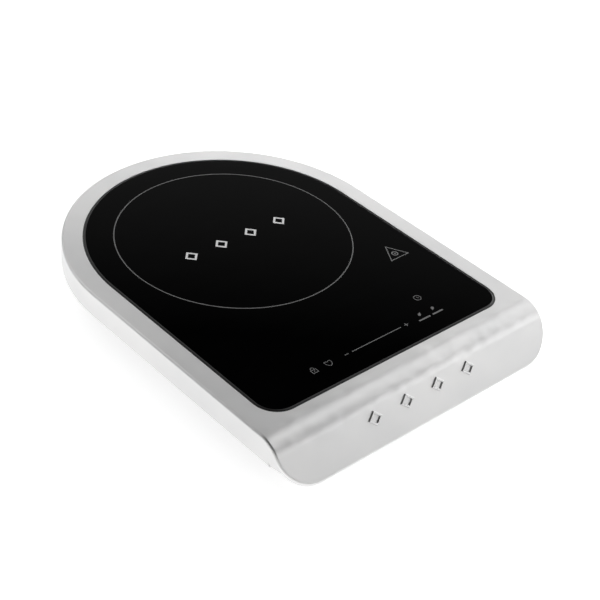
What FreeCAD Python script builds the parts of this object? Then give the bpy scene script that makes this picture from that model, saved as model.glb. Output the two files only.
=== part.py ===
"""Portable induction cooktop: a D-shaped metal body, a glass plate, a plastic base tub and its electronics.

Frame: +Z up, +X to the user's right, +Y away from the user. The origin is on the table under the middle of
the body. Lengths are millimetres. Every driving dimension is a cell of the sheet "dims"; each piece is an
object whose sizes are bound to those cells.
"""

import FreeCAD, Part
import math
import os
import Sketcher

DIMENSIONS = [
    # the metal body
    ("body_width", 295, "width over the side walls, and diameter of the round back"),
    ("body_length", 392.5, "from the apron's lower edge to the back"),
    ("body_top", 44, "height of the metal top above the table"),
    ("side_depth", 21.5, "height of the side wall"),
    ("wall", 3.2, "thickness of the casting"),
    ("bend_radius", 24, "outer radius of the bend from the top into the apron"),
    ("bend_angle", 54, "slope of the apron below the horizontal, degrees"),
    ("apron_straight", 32, "flat length of the apron along its slope, and its corner radius"),
    ("edge_round", 2.4, "radius on the outer edge of the body"),
    ("ledge_drop", 7.4, "underside of the glass ledge below the metal top"),
    ("ledge_width", 7.3, "how far the ledge reaches under the glass"),
    ("rim_groove", 133, "half width of the step between the ledge and the outer rim"),
    ("rim_boss_at", 137.4, "distance of the rim screws from the middle"),
    ("rim_boss_radius", 5.6, "radius of the rim screw bosses"),
    # the glass
    ("glass_half", 128.3, "half width of the glass plate, and radius of its round back"),
    ("glass_front", 198.8, "from the zone's centre to the front edge of the glass"),
    ("glass_corner", 20, "front corner radius of the glass"),
    ("glass_thick", 4, "thickness of the glass plate"),
    ("glass_proud", 0.4, "glass above the metal top"),
    ("glass_bevel", 0.9, "ground bevel on the glass edge"),
    ("seal_gap", 1.3, "silicone bead between glass and metal"),
    ("seal_sunk", 0.5, "bead below the metal top"),
    # the emblem on the apron
    ("emblem_pitch", 34.5, "spacing of the raised diamonds"),
    ("emblem_half_w", 7, "half width of a diamond"),
    ("emblem_half_h", 6, "half height of a diamond"),
    ("emblem_line", 2.6, "width of a diamond's outline, measured along its diagonal"),
    ("emblem_raise", 1.3, "height of the emblem above the apron"),
    ("emblem_down", 7.8, "emblem's centre below the bend, along the slope"),
    # the base tub
    ("base_gap", 1.6, "clearance between base flange and side wall"),
    ("flange_thick", 3.5, "thickness of the base flange"),
    ("flange_front", 178.4, "front edge of the flange"),
    ("tub_top_half", 126, "half width of the tub where it meets the flange"),
    ("tub_low_half", 116, "half width of the tub's floor"),
    ("tub_top_front", 160, "front of the tub where it meets the flange"),
    ("tub_low_front", 150, "front of the tub's floor"),
    ("tub_top_corner", 26, "front corner radius of the tub at the flange"),
    ("tub_low_corner", 18, "front corner radius of the tub at the floor"),
    ("tub_wall", 2.4, "wall of the tub"),
    ("floor_low", 4, "underside of the tub's floor above the table"),
    ("floor_thick", 2.5, "thickness of the tub's floor"),
    ("slot_width", 3, "width of a vent slot"),
    ("slot_pitch", 6.5, "spacing of the vent slots"),
    ("foot_radius", 10, "radius of a rubber foot"),
    ("foot_front_x", 99, "front feet from the middle, sideways"),
    ("foot_front_y", 133, "front feet from the middle, front to back"),
    ("foot_rear_x", 70, "rear feet from the middle, sideways"),
    ("foot_rear_y", 122, "rear feet from the middle, front to back"),
    ("foot_sunk", 1, "depth of the pocket a foot is pressed into"),
    # the cord entry
    ("gland_height", 13.2, "height of the cord entry above the table"),
    ("gland_bore", 3.7, "bore radius of the cord entry"),
    ("gland_body", 6.2, "radius of the gland where it passes the wall"),
    ("gland_flange", 8.2, "radius of the gland's flange"),
    # fasteners
    ("screw_shank", 1.2, "radius of a small screw"),
    ("screw_hole", 1.6, "clearance hole for a small screw"),
    ("screw_pilot", 1.25, "pilot hole for a small screw"),
    ("screw_head", 2.8, "head radius of a small screw"),
    ("screw_head_high", 1.6, "head height of a small screw"),
    ("screw_sunk", 2.1, "depth of the counterbores in the base flange"),
    # the coil assembly
    ("coil_inner", 27, "inner radius of the winding"),
    ("coil_pitch", 3.2, "spacing of the turns"),
    ("coil_turns", 20, "number of turns"),
    ("litz_wide", 2.9, "width of the litz bundle"),
    ("litz_high", 3.2, "height of the litz bundle"),
    ("sheet_thick", 1, "insulation sheet under the glass"),
    ("carrier_radius", 97, "radius of the coil carrier"),
    ("carrier_thick", 2.2, "thickness of the coil carrier"),
    ("ferrite_high", 4.2, "height of a ferrite bar"),
    ("ferrite_wide", 12, "width of a ferrite bar"),
    ("ferrite_long", 54, "length of a ferrite bar"),
    ("ferrite_start", 33, "inner end of a ferrite bar from the coil's axis"),
    ("ear_at", 104, "distance of the spring posts from the coil's axis"),
    ("ear_radius", 6.4, "radius of a carrier ear"),
    ("post_top", 24.2, "top of the spring posts"),
    ("post_radius", 4.8, "radius of a spring post"),
    ("spring_radius", 3.7, "mean radius of a coil spring"),
    ("spring_wire", 0.9, "wire diameter of a coil spring"),
    ("shield_low", 24.4, "underside of the heat shield"),
    ("shield_radius", 95, "radius of the heat shield"),
    ("shield_thick", 0.8, "thickness of the heat shield"),
    ("shield_lip", 2.2, "depth of the lip round the heat shield"),
    # the fan
    ("fan_x", -66, "fan axis, sideways"),
    ("fan_y", -102, "fan axis, front to back"),
    ("fan_size", 80, "side of the fan frame"),
    ("fan_deep", 15, "depth of the fan"),
    ("fan_bore", 38, "radius of the fan's venturi"),
    ("fan_hole", 35.75, "fan fixing holes from the axis"),
    ("fan_low", 8.5, "underside of the fan"),
    ("hub_radius", 15.5, "radius of the rotor hub"),
    ("bearing_post", 3.8, "radius of the fan's bearing post"),
    ("bearing_radius", 2.8, "outer radius of the fan's bearing"),
    ("blade_tip", 36.9, "radius to the blade tips"),
    # the power board
    ("board_left", -20, "left edge of the power board"),
    ("board_right", 108, "right edge of the power board"),
    ("board_front", -143, "front edge of the power board"),
    ("board_back", -54, "back edge of the power board"),
    ("board_low", 10, "underside of the power board"),
    ("board_thick", 1.6, "thickness of a circuit board"),
    ("sink_left", 4, "left end of the heat sink"),
    ("sink_long", 74, "length of the heat sink"),
    ("sink_front", -112, "front face of the heat sink's plate"),
    ("sink_plate", 4.5, "thickness of the heat sink's plate"),
    ("fin_long", 31, "length of a cooling fin"),
    ("fin_thick", 1.3, "thickness of a cooling fin"),
    ("fin_pitch", 3.1, "spacing of the cooling fins"),
    ("fin_count", 6, "number of cooling fins"),
    # the control board
    ("control_low", 33.6, "underside of the control board"),
    ("control_front", -141, "front edge of the control board"),
    ("control_back", -95, "back edge of the control board"),
    ("control_half", 84, "half length of the control board"),
    ("key_row_y", -127, "row of touch keys"),
    ("key_radius", 4.2, "radius of a touch electrode"),
    ("bracket_low", 30.4, "underside of the control bracket"),
    ("bracket_thick", 2, "thickness of the control bracket"),
    ("bracket_half", 129.5, "half length of the control bracket"),
]


class Size:
    """A length that carries its number and the sheet expression that gives it."""

    def __init__(self, value, text):
        self.value, self.text = float(value), text

    def _with(self, other, sign, value, swap=False):
        first, second = (as_size(other), self) if swap else (self, as_size(other))
        return Size(value(first.value, second.value), f"({first.text} {sign} {second.text})")

    def __add__(self, other):
        return self._with(other, "+", lambda a, b: a + b)

    def __radd__(self, other):
        return self._with(other, "+", lambda a, b: a + b, swap=True)

    def __sub__(self, other):
        return self._with(other, "-", lambda a, b: a - b)

    def __rsub__(self, other):
        return self._with(other, "-", lambda a, b: a - b, swap=True)

    def __mul__(self, other):
        return self._with(other, "*", lambda a, b: a * b)

    def __rmul__(self, other):
        return self._with(other, "*", lambda a, b: a * b, swap=True)

    def __truediv__(self, other):
        return self._with(other, "/", lambda a, b: a / b)

    def __neg__(self):
        return Size(-self.value, f"(0 - {self.text})")

    def __float__(self):
        return self.value


def as_size(number):
    return number if isinstance(number, Size) else Size(number, f"{float(number):.6f}")


def sin_of(angle):
    return Size(math.sin(math.radians(angle.value)), f"sin({angle.text} * 1deg)")


def cos_of(angle):
    return Size(math.cos(math.radians(angle.value)), f"cos({angle.text} * 1deg)")


doc = FreeCAD.newDocument("cooktop")
sheet = doc.addObject("Spreadsheet::Sheet", "dims")
for row, (alias, number, note) in enumerate(DIMENSIONS, 1):
    sheet.set(f"A{row}", note)
    sheet.set(f"B{row}", str(number))
    sheet.setAlias(f"B{row}", alias)
doc.recompute()
d = {alias: Size(number, f"dims.{alias}") for alias, number, note in DIMENSIONS}
nodes = {}

# Places that follow from the driving dimensions.
HALF = d["body_width"] / 2
TOP = d["body_top"]
ZONE_Y = d["body_length"] / 2 - HALF
REAR_Y = d["body_length"] / 2
SIN, COS = sin_of(d["bend_angle"]), cos_of(d["bend_angle"])
FRONT_Y = -d["body_length"] / 2 - d["edge_round"] * (SIN + COS - 1)
BEND_END_Y = FRONT_Y + d["apron_straight"] * COS
BEND_END_Z = TOP - d["bend_radius"] * (1 - COS)
BEND_Y = BEND_END_Y + d["bend_radius"] * SIN
APRON_LOW_Z = BEND_END_Z - d["apron_straight"] * SIN
SKIRT_Z = TOP - d["side_depth"]
CEILING = TOP - d["wall"]
LEDGE_LOW = TOP - d["ledge_drop"]
GLASS_TOP = TOP + d["glass_proud"]
GLASS_LOW = GLASS_TOP - d["glass_thick"]
LEDGE_TOP = GLASS_LOW - 0.8
GLASS_FRONT_Y = ZONE_Y - d["glass_front"]
WINDOW_HALF = d["glass_half"] - d["ledge_width"]
FLANGE_TOP = SKIRT_Z + d["flange_thick"]
FLOOR_TOP = d["floor_low"] + d["floor_thick"]
BOARD_TOP = d["board_low"] + d["board_thick"]
CONTROL_TOP = d["control_low"] + d["board_thick"]
SHEET_LOW = GLASS_LOW - d["sheet_thick"]
COIL_LOW = SHEET_LOW - d["litz_high"]
CARRIER_LOW = COIL_LOW - d["carrier_thick"]
FERRITE_LOW = CARRIER_LOW - d["ferrite_high"] + 0.4
EAR_LOW = CARRIER_LOW - 1.6
SPRING_ANGLES = {"rear": 60, "left": 180, "front": 300}
FERRITE_ANGLE = 22.5
LEAD_HOLE = (18, 12.5)
COIL_TAPS, COIL_TAP_Y = (82, 92), -61
FAN_TAP_X = -13.5
FAN_RELIEF = 1.6
FAN_LEAD_DOWN = 18
RIBBON_X, RIBBON_Y = 38, -136
DEVICE_SPOTS = (22, 55)
TERMINAL_Y = 140
TERMINAL_PINS = ((-4, 137), (4, 143))
BAFFLE_Y = -52
GLAND_IN = ZONE_Y + 115
GLAND_OUT = ZONE_Y + 126.5
GLAND_END = GLAND_IN - 4
CONTROL_SCREWS = [(x, y) for x in (-78, 78) for y in (-136.5, -99)]
KEY_ROW = d["key_row_y"]
LAMP_KEYS = (-66.5, -50.9, 53.9)
KEY_SPOTS = [(x, KEY_ROW) for x in (-66.5, -50.9, -32, 34.3)]
KEY_SPOTS += [(53.9, KEY_ROW + 3), (69.3, KEY_ROW + 3), (68.4, KEY_ROW + 20.6)]
EARTH_SPOT = (22, ZONE_Y + 125)
EARTH_SEAT = LEDGE_LOW - 5.8
BITE = 0.3  # how far a boss or post reaches into the wall that carries it


# ---------------------------------------------------------------- helpers: placing and Part primitives


def vector(x, y, z):
    return FreeCAD.Vector(float(x), float(y), float(z))


def place(obj, x, y, z, turn=None):
    """Binds an object's position to the sheet, with an optional fixed rotation."""
    obj.Placement = FreeCAD.Placement(FreeCAD.Vector(), turn or FreeCAD.Rotation())
    for axis, at in zip("xyz", (x, y, z)):
        obj.setExpression(f"Placement.Base.{axis}", as_size(at).text)
    return obj


def bind(obj, **sizes):
    for name, size in sizes.items():
        obj.setExpression(name, as_size(size).text)
    return obj


def block(x, y, z, length, width, height):
    """A box with its lowest corner at x, y, z."""
    made = bind(doc.addObject("Part::Box", "block"), Length=length, Width=width, Height=height)
    return place(made, x, y, z)


TURN = {
    "Z": FreeCAD.Rotation(),
    "X": FreeCAD.Rotation(FreeCAD.Vector(0, 1, 0), 90),
    "Y": FreeCAD.Rotation(FreeCAD.Vector(1, 0, 0), -90),
}


def rod(x, y, z, radius, height, along="Z"):
    """A cylinder from x, y, z in the direction of a row axis."""
    made = bind(doc.addObject("Part::Cylinder", "rod"), Radius=radius, Height=height)
    return place(made, x, y, z, TURN[along])


def cone(x, y, z, radius, radius_far, height, along="Z"):
    made = bind(doc.addObject("Part::Cone", "cone"), Radius1=radius, Radius2=radius_far, Height=height)
    return place(made, x, y, z, TURN[along])


def join(*items):
    if len(items) == 1:
        return items[0]
    made = doc.addObject("Part::MultiFuse", "join")
    made.Shapes = list(items)
    made.Refine = True
    return made


def cut(base, *tools):
    made = doc.addObject("Part::Cut", "cut")
    made.Base = base
    made.Tool = join(*tools)
    return made


def common(base, tool):
    made = doc.addObject("Part::Common", "common")
    made.Base = base
    made.Tool = tool
    return made


def group(*items):
    """Separate solids kept in one piece."""
    made = doc.addObject("Part::Compound", "group")
    made.Links = list(items)
    return made


def tube(x, y, z, outer, inner, height, along="Z"):
    return cut(rod(x, y, z, outer, height, along), rod(x, y, z, inner, height, along))


def node(name, obj):
    """Names a finished sub-part."""
    obj.Label = name
    nodes[name] = obj
    return obj


# ---------------------------------------------------------------- helpers: PartDesign bodies and sketches


def new_body(name):
    body = doc.addObject("PartDesign::Body", name)
    body.AllowCompound = True
    return body


def sketch_on(body, name, role="XY_Plane", offset=0):
    """A sketch on one of the body's own origin planes, moved along its normal."""
    sketch = body.newObject("Sketcher::SketchObject", name)
    plane = next(o for o in body.Origin.OriginFeatures if o.Role == role)
    sketch.AttachmentSupport = (plane, [""])
    sketch.MapMode = "FlatFace"
    sketch.setExpression("AttachmentOffset.Base.z", as_size(offset).text)
    return sketch


def sketch_on_apron(body, name):
    """A sketch on the apron's slope: its y runs up the slope and its origin is where the bend ends."""
    sketch = sketch_on(body, name, offset=BEND_END_Z)
    sketch.AttachmentOffset = FreeCAD.Placement(
        FreeCAD.Vector(), FreeCAD.Rotation(FreeCAD.Vector(1, 0, 0), d["bend_angle"].value)
    )
    sketch.setExpression("AttachmentOffset.Rotation.Angle", f"{d['bend_angle'].text} * 1deg")
    sketch.setExpression("AttachmentOffset.Base.y", BEND_END_Y.text)
    return sketch


def fix(sketch, constraint, name, size):
    """Adds a dimension to a sketch and binds it to the sheet."""
    index = sketch.addConstraint(constraint)
    sketch.renameConstraint(index, name)
    sketch.setExpression(f"Constraints.{name}", as_size(size).text)


def fix_point(sketch, tag, point, x, y):
    """Dimensions a point of the sketch from its origin."""
    fix(sketch, Sketcher.Constraint("DistanceX", -1, 1, *point, float(x)), tag + "_across", x)
    fix(sketch, Sketcher.Constraint("DistanceY", -1, 1, *point, float(y)), tag + "_along", y)


def path(sketch, corners):
    """A closed outline. A corner is (x, y), or (x, y, radius) where the stretch that ends there is an arc
    that turns left, or (x, y, -radius) where that arc turns right."""
    start = sketch.GeometryCount
    count = len(corners)
    ends = []
    for k, corner in enumerate(corners):
        here = corners[k - 1]
        p, q = vector(here[0], here[1], 0), vector(corner[0], corner[1], 0)
        if len(corner) == 2:
            sketch.addGeometry(Part.LineSegment(p, q))
            ends.append((1, 2))
            continue
        radius = abs(float(corner[2]))
        left = float(corner[2]) > 0
        chord = q - p
        rise = math.sqrt(max(radius**2 - (chord.Length / 2) ** 2, 0))
        normal = FreeCAD.Vector(-chord.y, chord.x, 0).normalize()
        centre = (p + q) * 0.5 + normal * (rise if left else -rise)
        first, last = (p, q) if left else (q, p)
        angles = [math.atan2(v.y - centre.y, v.x - centre.x) for v in (first, last)]
        if angles[1] < angles[0]:
            angles[1] += 2 * math.pi
        circle = Part.Circle(centre, FreeCAD.Vector(0, 0, 1), radius)
        sketch.addGeometry(Part.ArcOfCircle(circle, *angles))
        ends.append((1, 2) if left else (2, 1))
    for k in range(count):
        after = (k + 1) % count
        meeting = (start + k, ends[k][1], start + after, ends[after][0])
        sketch.addConstraint(Sketcher.Constraint("Coincident", *meeting))
    for k, corner in enumerate(corners):
        tag = f"corner{start + k}"
        fix_point(sketch, tag, (start + k, ends[k][1]), corner[0], corner[1])
        if len(corner) == 3:
            size = corner[2] if float(corner[2]) > 0 else -as_size(corner[2])
            fix(sketch, Sketcher.Constraint("Radius", start + k, float(size)), tag + "_round", size)
    return sketch


def circles(sketch, spots, radius):
    """Circles of one radius at the given (x, y) spots."""
    for x, y in spots:
        index = sketch.addGeometry(Part.Circle(vector(x, y, 0), FreeCAD.Vector(0, 0, 1), float(radius)))
        tag = f"circle{index}"
        fix_point(sketch, tag, (index, 3), x, y)
        fix(sketch, Sketcher.Constraint("Radius", index, float(radius)), tag + "_round", radius)
    return sketch


def rectangle(sketch, x0, y0, x1, y1):
    return path(sketch, [(x0, y0), (x1, y0), (x1, y1), (x0, y1)])


def round_rectangle(sketch, x0, y0, x1, y1, r):
    """A rectangle with rounded corners."""
    right = [(x0 + r, y0, r), (x1 - r, y0), (x1, y0 + r, r), (x1, y1 - r)]
    return path(sketch, right + [(x1 - r, y1, r), (x0 + r, y1), (x0, y1 - r, r), (x0, y0 + r)])


def turned_rectangle(sketch, angle, near, far, half):
    """A rectangle that reaches from near to far along a ray from the sketch's origin."""
    c, s = math.cos(math.radians(angle)), math.sin(math.radians(angle))
    corners = ((near, -half), (far, -half), (far, half), (near, half))
    return path(sketch, [(u * c - v * s, u * s + v * c) for u, v in corners])


def d_outline(sketch, half, front, corner=None):
    """The D shape of the body: a half circle at the back, straight sides, and a square or rounded front."""
    back = [(0, ZONE_Y + half, half), (-half, ZONE_Y, half)]
    if corner is None:
        return path(sketch, [(half, ZONE_Y)] + back + [(-half, front), (half, front)])
    rounded = [
        (-half, front + corner),
        (corner - half, front, corner),
        (half - corner, front),
        (half, front + corner, corner),
    ]
    return path(sketch, [(half, ZONE_Y)] + back + rounded)


def pad(body, sketch, length, down=False, both=False):
    made = body.newObject("PartDesign::Pad", "Pad")
    made.Profile = sketch
    made.setExpression("Length", as_size(length).text)
    made.Reversed = down
    made.SideType = "Symmetric" if both else "One side"
    sketch.Visibility = False
    body.Tip = made
    return made


def pocket(body, sketch, length, up=False, both=False):
    """Cuts away from the sketch's normal, or along it when up is set. The volume must fall."""
    doc.recompute()
    before = body.Shape.Volume
    made = body.newObject("PartDesign::Pocket", "Pocket")
    made.Profile = sketch
    made.setExpression("Length", as_size(length).text)
    made.Reversed = up
    made.SideType = "Symmetric" if both else "One side"
    body.Tip = made
    doc.recompute()
    if not body.Shape.Volume < before - 0.01:
        raise RuntimeError(f"{sketch.Name} in {body.Name} cut nothing")
    return made


def loft(body, kind, sections):
    made = body.newObject(f"PartDesign::{kind}Loft", "Loft")
    made.Profile = sections[0]
    made.Sections = sections[1:]
    made.Ruled = True
    body.Tip = made
    return made


def dress(body, kind, base, edges, **sizes):
    """A fillet or chamfer on the listed edges of a feature."""
    made = body.newObject(f"PartDesign::{kind}", kind)
    made.Base = (base, edges)
    bind(made, **sizes)
    body.Tip = made
    return made


def around(body, pattern_of, count):
    """Repeats a feature round the body's own Z axis."""
    made = body.newObject("PartDesign::PolarPattern", "Pattern")
    made.Originals = [pattern_of]
    axis = next(o for o in body.Origin.OriginFeatures if o.Role == "Z_Axis")
    made.Axis = (axis, [""])
    made.Angle = 360
    made.Occurrences = count
    body.Tip = made
    return made


def edges_where(shape, test):
    return [f"Edge{k}" for k, edge in enumerate(shape.Edges, 1) if test(edge)]


def middle_of(edge):
    return edge.valueAt((edge.FirstParameter + edge.LastParameter) / 2)


# ---------------------------------------------------------------- helpers: fasteners and wires


def screw(x, y, seat, length, shank=None, head=None, head_high=None, up=True):
    """A cross-recessed screw. Its head bears on the seat; its shank points down, or up when up is False."""
    shank = shank or d["screw_shank"]
    head = head or d["screw_head"]
    high = as_size(head_high or d["screw_head_high"])
    low_of_head = seat if up else seat - high
    low_of_shank = seat - length if up else seat
    blank = join(rod(x, y, low_of_shank, shank, length), rod(x, y, low_of_head, head, high))
    arm, deep = head * 0.6, high * 0.6
    slot_z = seat + high - deep if up else seat - high
    across = block(x - arm, y - arm / 5, slot_z, arm * 2, arm * 2 / 5, deep)
    along = block(x - arm / 5, y - arm, slot_z, arm * 2 / 5, arm * 2, deep)
    return cut(blank, across, along)


def bent_wire(points, radius, bend):
    """A round wire through the points: straight runs joined by tangent arcs."""
    points = [vector(*p) for p in points]
    edges = []
    here = points[0]
    for k in range(1, len(points) - 1):
        a, b, c = points[k - 1], points[k], points[k + 1]
        u, v = (a - b).normalize(), (c - b).normalize()
        half_turn = (math.pi - u.getAngle(v)) / 2
        shorter = min((a - b).Length, (c - b).Length)
        r = min(bend, 0.45 * shorter / math.tan(half_turn))
        back = r * math.tan(half_turn)
        p, q = b + u * back, b + v * back
        bisector = (u + v).normalize()
        centre = b + bisector * (r / math.cos(half_turn))
        edges.append(Part.LineSegment(here, p).toShape())
        edges.append(Part.Arc(p, centre - bisector * r, q).toShape())
        here = q
    edges.append(Part.LineSegment(here, points[-1]).toShape())
    spine = Part.Wire(edges)
    ring = Part.Wire([Part.makeCircle(radius, points[0], points[1] - points[0])])
    made = spine.makePipeShell([ring], True, False)
    if abs(made.Volume / (math.pi * radius**2 * spine.Length) - 1) > 0.02:
        raise RuntimeError("a wire's volume doesn't match its length")
    return made


def feature(shape):
    made = doc.addObject("Part::Feature", "feature")
    made.Shape = shape
    return made


# ---------------------------------------------------------------- the outside: body, glass, base


def rim_spots():
    """The nine screws that hold the base into the body."""
    ring = d["rim_boss_at"]
    diagonal = ring * math.sqrt(0.5)
    spots = [(side * ring, y) for side in (-1, 1) for y in (-118, -32)]
    spots += [(side * diagonal, ZONE_Y + diagonal) for side in (-1, 1)]
    return spots + [(0, ZONE_Y + ring), (-76, -163), (76, -163)]


def bracket_spots():
    """Screws that hold the control bracket under the glass ledge."""
    return [(side * 125.2, y) for side in (-1, 1) for y in (-136, -100)]


def on_skin(point):
    """True where a point lies on the top, the bend or the apron's outer face."""
    if abs(point.z - TOP.value) < 1e-4:
        return point.y > BEND_Y.value - 1e-4
    dy, dz = point.y - BEND_Y.value, point.z - (TOP - d["bend_radius"]).value
    if dy <= 1e-4 and dz > 0 and abs(math.hypot(dy, dz) - d["bend_radius"].value) < 1e-4:
        return True
    off_apron = (point - vector(point.x, BEND_END_Y, BEND_END_Z)).dot(vector(0, -SIN, COS))
    return abs(off_apron) < 1e-4


def is_skin_border(edge):
    """An edge all of whose points are on the skin, except the folds between the skin's own faces."""
    if not all(on_skin(edge.valueAt(t)) for t in (edge.FirstParameter, edge.LastParameter)):
        return False
    point = middle_of(edge)
    fold = abs(point.x) < 1 and (
        abs(point.y - BEND_Y.value) < 1e-3 or abs(point.y - BEND_END_Y.value) < 1e-3
    )
    return on_skin(point) and not fold


def make_top_housing():
    """The cast body: a shell open below, with a window for the glass and a sloping apron at the front."""
    body = new_body("top_housing_body")
    wall = d["wall"]
    foot_y = FRONT_Y + wall * SIN
    foot_z = APRON_LOW_Z - wall * COS
    slope = SIN / COS
    profile = sketch_on(body, "side_profile", "YZ_Plane")
    path(
        profile,
        [
            (REAR_Y, SKIRT_Z),
            (REAR_Y, TOP),
            (BEND_Y, TOP),
            (BEND_END_Y, BEND_END_Z, d["bend_radius"]),
            (FRONT_Y, APRON_LOW_Z),
            (foot_y, foot_z),
            (foot_y + (SKIRT_Z - foot_z) / slope, SKIRT_Z),
        ],
    )
    pad(body, profile, d["body_width"], both=True)

    outside = sketch_on(body, "round_back", offset=TOP + 5)
    reach = HALF + 10
    path(
        outside,
        [
            (HALF, ZONE_Y),
            (0, REAR_Y, HALF),
            (-HALF, ZONE_Y, HALF),
            (-reach, ZONE_Y),
            (-reach, REAR_Y + 10),
            (reach, REAR_Y + 10),
            (reach, ZONE_Y),
        ],
    )
    pocket(body, outside, TOP)

    corner = d["apron_straight"]
    for side in (-1, 1):
        spandrel = sketch_on_apron(body, "apron_corner")
        path(
            spandrel,
            [
                (side * HALF, 0, corner * side),
                (side * (HALF + 6), 0),
                (side * (HALF + 6), -corner - 6),
                (side * (HALF - corner), -corner - 6),
                (side * (HALF - corner), -corner),
            ],
        )
        pocket(body, spandrel, 24, both=True)

    doc.recompute()
    border = edges_where(body.Shape, is_skin_border)
    dress(body, "Fillet", body.Tip, border, Radius=d["edge_round"])
    doc.recompute()

    inner = HALF - wall
    low = SKIRT_Z - 1
    narrower = 2.4
    front_hollow = sketch_on(body, "front_hollow", "YZ_Plane")
    path(
        front_hollow,
        [
            (BEND_Y + 1, low),
            (BEND_Y + 1, CEILING),
            (BEND_Y, CEILING),
            (BEND_Y - (d["bend_radius"] - wall) * SIN, BEND_END_Z - wall * COS, d["bend_radius"] - wall),
            (foot_y + (low - foot_z) / slope, low),
        ],
    )
    pocket(body, front_hollow, inner * 2 - narrower, both=True)

    hollow = sketch_on(body, "main_hollow", offset=low)
    d_outline(hollow, inner, BEND_Y)
    pocket(body, hollow, LEDGE_LOW - low, up=True)
    groove = sketch_on(body, "rim_groove", offset=LEDGE_LOW - 0.5)
    d_outline(groove, inner, BEND_Y)
    d_outline(groove, d["rim_groove"], BEND_Y + 2, as_size(16))
    pocket(body, groove, CEILING - LEDGE_LOW + 0.5, up=True)

    recess = sketch_on(body, "glass_recess", offset=TOP + 1)
    gap = d["seal_gap"]
    d_outline(recess, d["glass_half"] + gap, GLASS_FRONT_Y - gap, d["glass_corner"] + gap)
    pocket(body, recess, TOP + 1 - LEDGE_TOP)
    window = sketch_on(body, "glass_window", offset=TOP + 1)
    ledge = d["ledge_width"]
    d_outline(window, WINDOW_HALF, GLASS_FRONT_Y + ledge, d["glass_corner"] - ledge)
    pocket(body, window, d["side_depth"])

    bosses = sketch_on(body, "rim_bosses", offset=FLANGE_TOP)
    circles(bosses, rim_spots(), d["rim_boss_radius"])
    pad(body, bosses, CEILING - FLANGE_TOP + BITE)
    lugs = sketch_on(body, "bracket_bosses", offset=d["bracket_low"] + d["bracket_thick"])
    circles(lugs, bracket_spots(), 3.4)
    pad(body, lugs, LEDGE_LOW - d["bracket_low"] - d["bracket_thick"] + BITE)
    earth = sketch_on(body, "earth_boss", offset=EARTH_SEAT)
    circles(earth, [EARTH_SPOT], 3.6)
    pad(body, earth, LEDGE_LOW - EARTH_SEAT + BITE)
    pilots = sketch_on(body, "rim_pilots", offset=FLANGE_TOP)
    circles(pilots, rim_spots(), d["screw_pilot"])
    pocket(body, pilots, 10, up=True)
    lug_pilots = sketch_on(body, "bracket_pilots", offset=d["bracket_low"] + d["bracket_thick"])
    circles(lug_pilots, bracket_spots(), d["screw_pilot"])
    pocket(body, lug_pilots, 5.5, up=True)
    earth_pilot = sketch_on(body, "earth_pilot", offset=EARTH_SEAT)
    circles(earth_pilot, [EARTH_SPOT], d["screw_pilot"])
    pocket(body, earth_pilot, 7, up=True)
    return node("top_housing", body)


def make_glass():
    body = new_body("glass_plate_body")
    outline = sketch_on(body, "glass_outline", offset=GLASS_LOW)
    d_outline(outline, d["glass_half"], GLASS_FRONT_Y, d["glass_corner"])
    plate = pad(body, outline, d["glass_thick"])
    doc.recompute()
    top_edges = edges_where(body.Shape, lambda e: abs(e.BoundBox.ZMin - GLASS_TOP.value) < 1e-4)
    dress(body, "Chamfer", plate, top_edges, Size=d["glass_bevel"])
    return node("glass_plate", body)


def make_seal():
    """The silicone bead: a bed under the glass edge and a lip that fills the joint round it."""
    body = new_body("glass_seal_body")
    gap, ledge = d["seal_gap"], d["ledge_width"]
    ring = sketch_on(body, "seal_bed", offset=LEDGE_TOP)
    d_outline(ring, d["glass_half"] + gap, GLASS_FRONT_Y - gap, d["glass_corner"] + gap)
    d_outline(ring, WINDOW_HALF + 1, GLASS_FRONT_Y + ledge - 1, d["glass_corner"] - ledge + 1)
    pad(body, ring, GLASS_LOW - LEDGE_TOP)
    lip = sketch_on(body, "seal_lip", offset=LEDGE_TOP)
    d_outline(lip, d["glass_half"] + gap, GLASS_FRONT_Y - gap, d["glass_corner"] + gap)
    d_outline(lip, d["glass_half"], GLASS_FRONT_Y, d["glass_corner"])
    pad(body, lip, TOP - d["seal_sunk"] - LEDGE_TOP)
    return node("glass_seal", body)


def make_emblem():
    """Four raised diamond outlines on the apron."""
    body = new_body("front_emblem_body")
    outlines = sketch_on_apron(body, "diamonds")
    wide, high, line = d["emblem_half_w"], d["emblem_half_h"], d["emblem_line"]
    for k in (-1.5, -0.5, 0.5, 1.5):
        x, y = d["emblem_pitch"] * k, -d["emblem_down"]
        for w, h in ((wide, high), (wide - line, high - line * 0.86)):
            path(outlines, [(x + w, y), (x, y + h), (x - w, y), (x, y - h)])
    slab = pad(body, outlines, d["emblem_raise"])
    doc.recompute()

    outward = vector(0, -SIN, COS)

    def on_face(edge):
        off = (middle_of(edge) - vector(0, BEND_END_Y, BEND_END_Z)).dot(outward)
        across = edge.Vertexes[0].Point - edge.Vertexes[-1].Point
        return abs(across.dot(outward)) < 1e-4 and abs(off - d["emblem_raise"].value) < 1e-4

    dress(body, "Chamfer", slab, edges_where(body.Shape, on_face), Size=0.35)
    return node("front_emblem", body)


def foot_spots():
    return {
        "foot_front_left": (-d["foot_front_x"], -d["foot_front_y"]),
        "foot_front_right": (d["foot_front_x"], -d["foot_front_y"]),
        "foot_rear_left": (-d["foot_rear_x"], d["foot_rear_y"]),
        "foot_rear_right": (d["foot_rear_x"], d["foot_rear_y"]),
    }


def fan_spots():
    x, y, reach = d["fan_x"], d["fan_y"], d["fan_hole"]
    return [(x + sx * reach, y + sy * reach) for sx in (-1, 1) for sy in (-1, 1)]


def board_spots():
    inset = 4.5
    left, right = d["board_left"] + inset, d["board_right"] - inset
    front, back = d["board_front"] + inset, d["board_back"] - inset
    return [(left, front), (right, front), (left, back), (right, back)]


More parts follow.
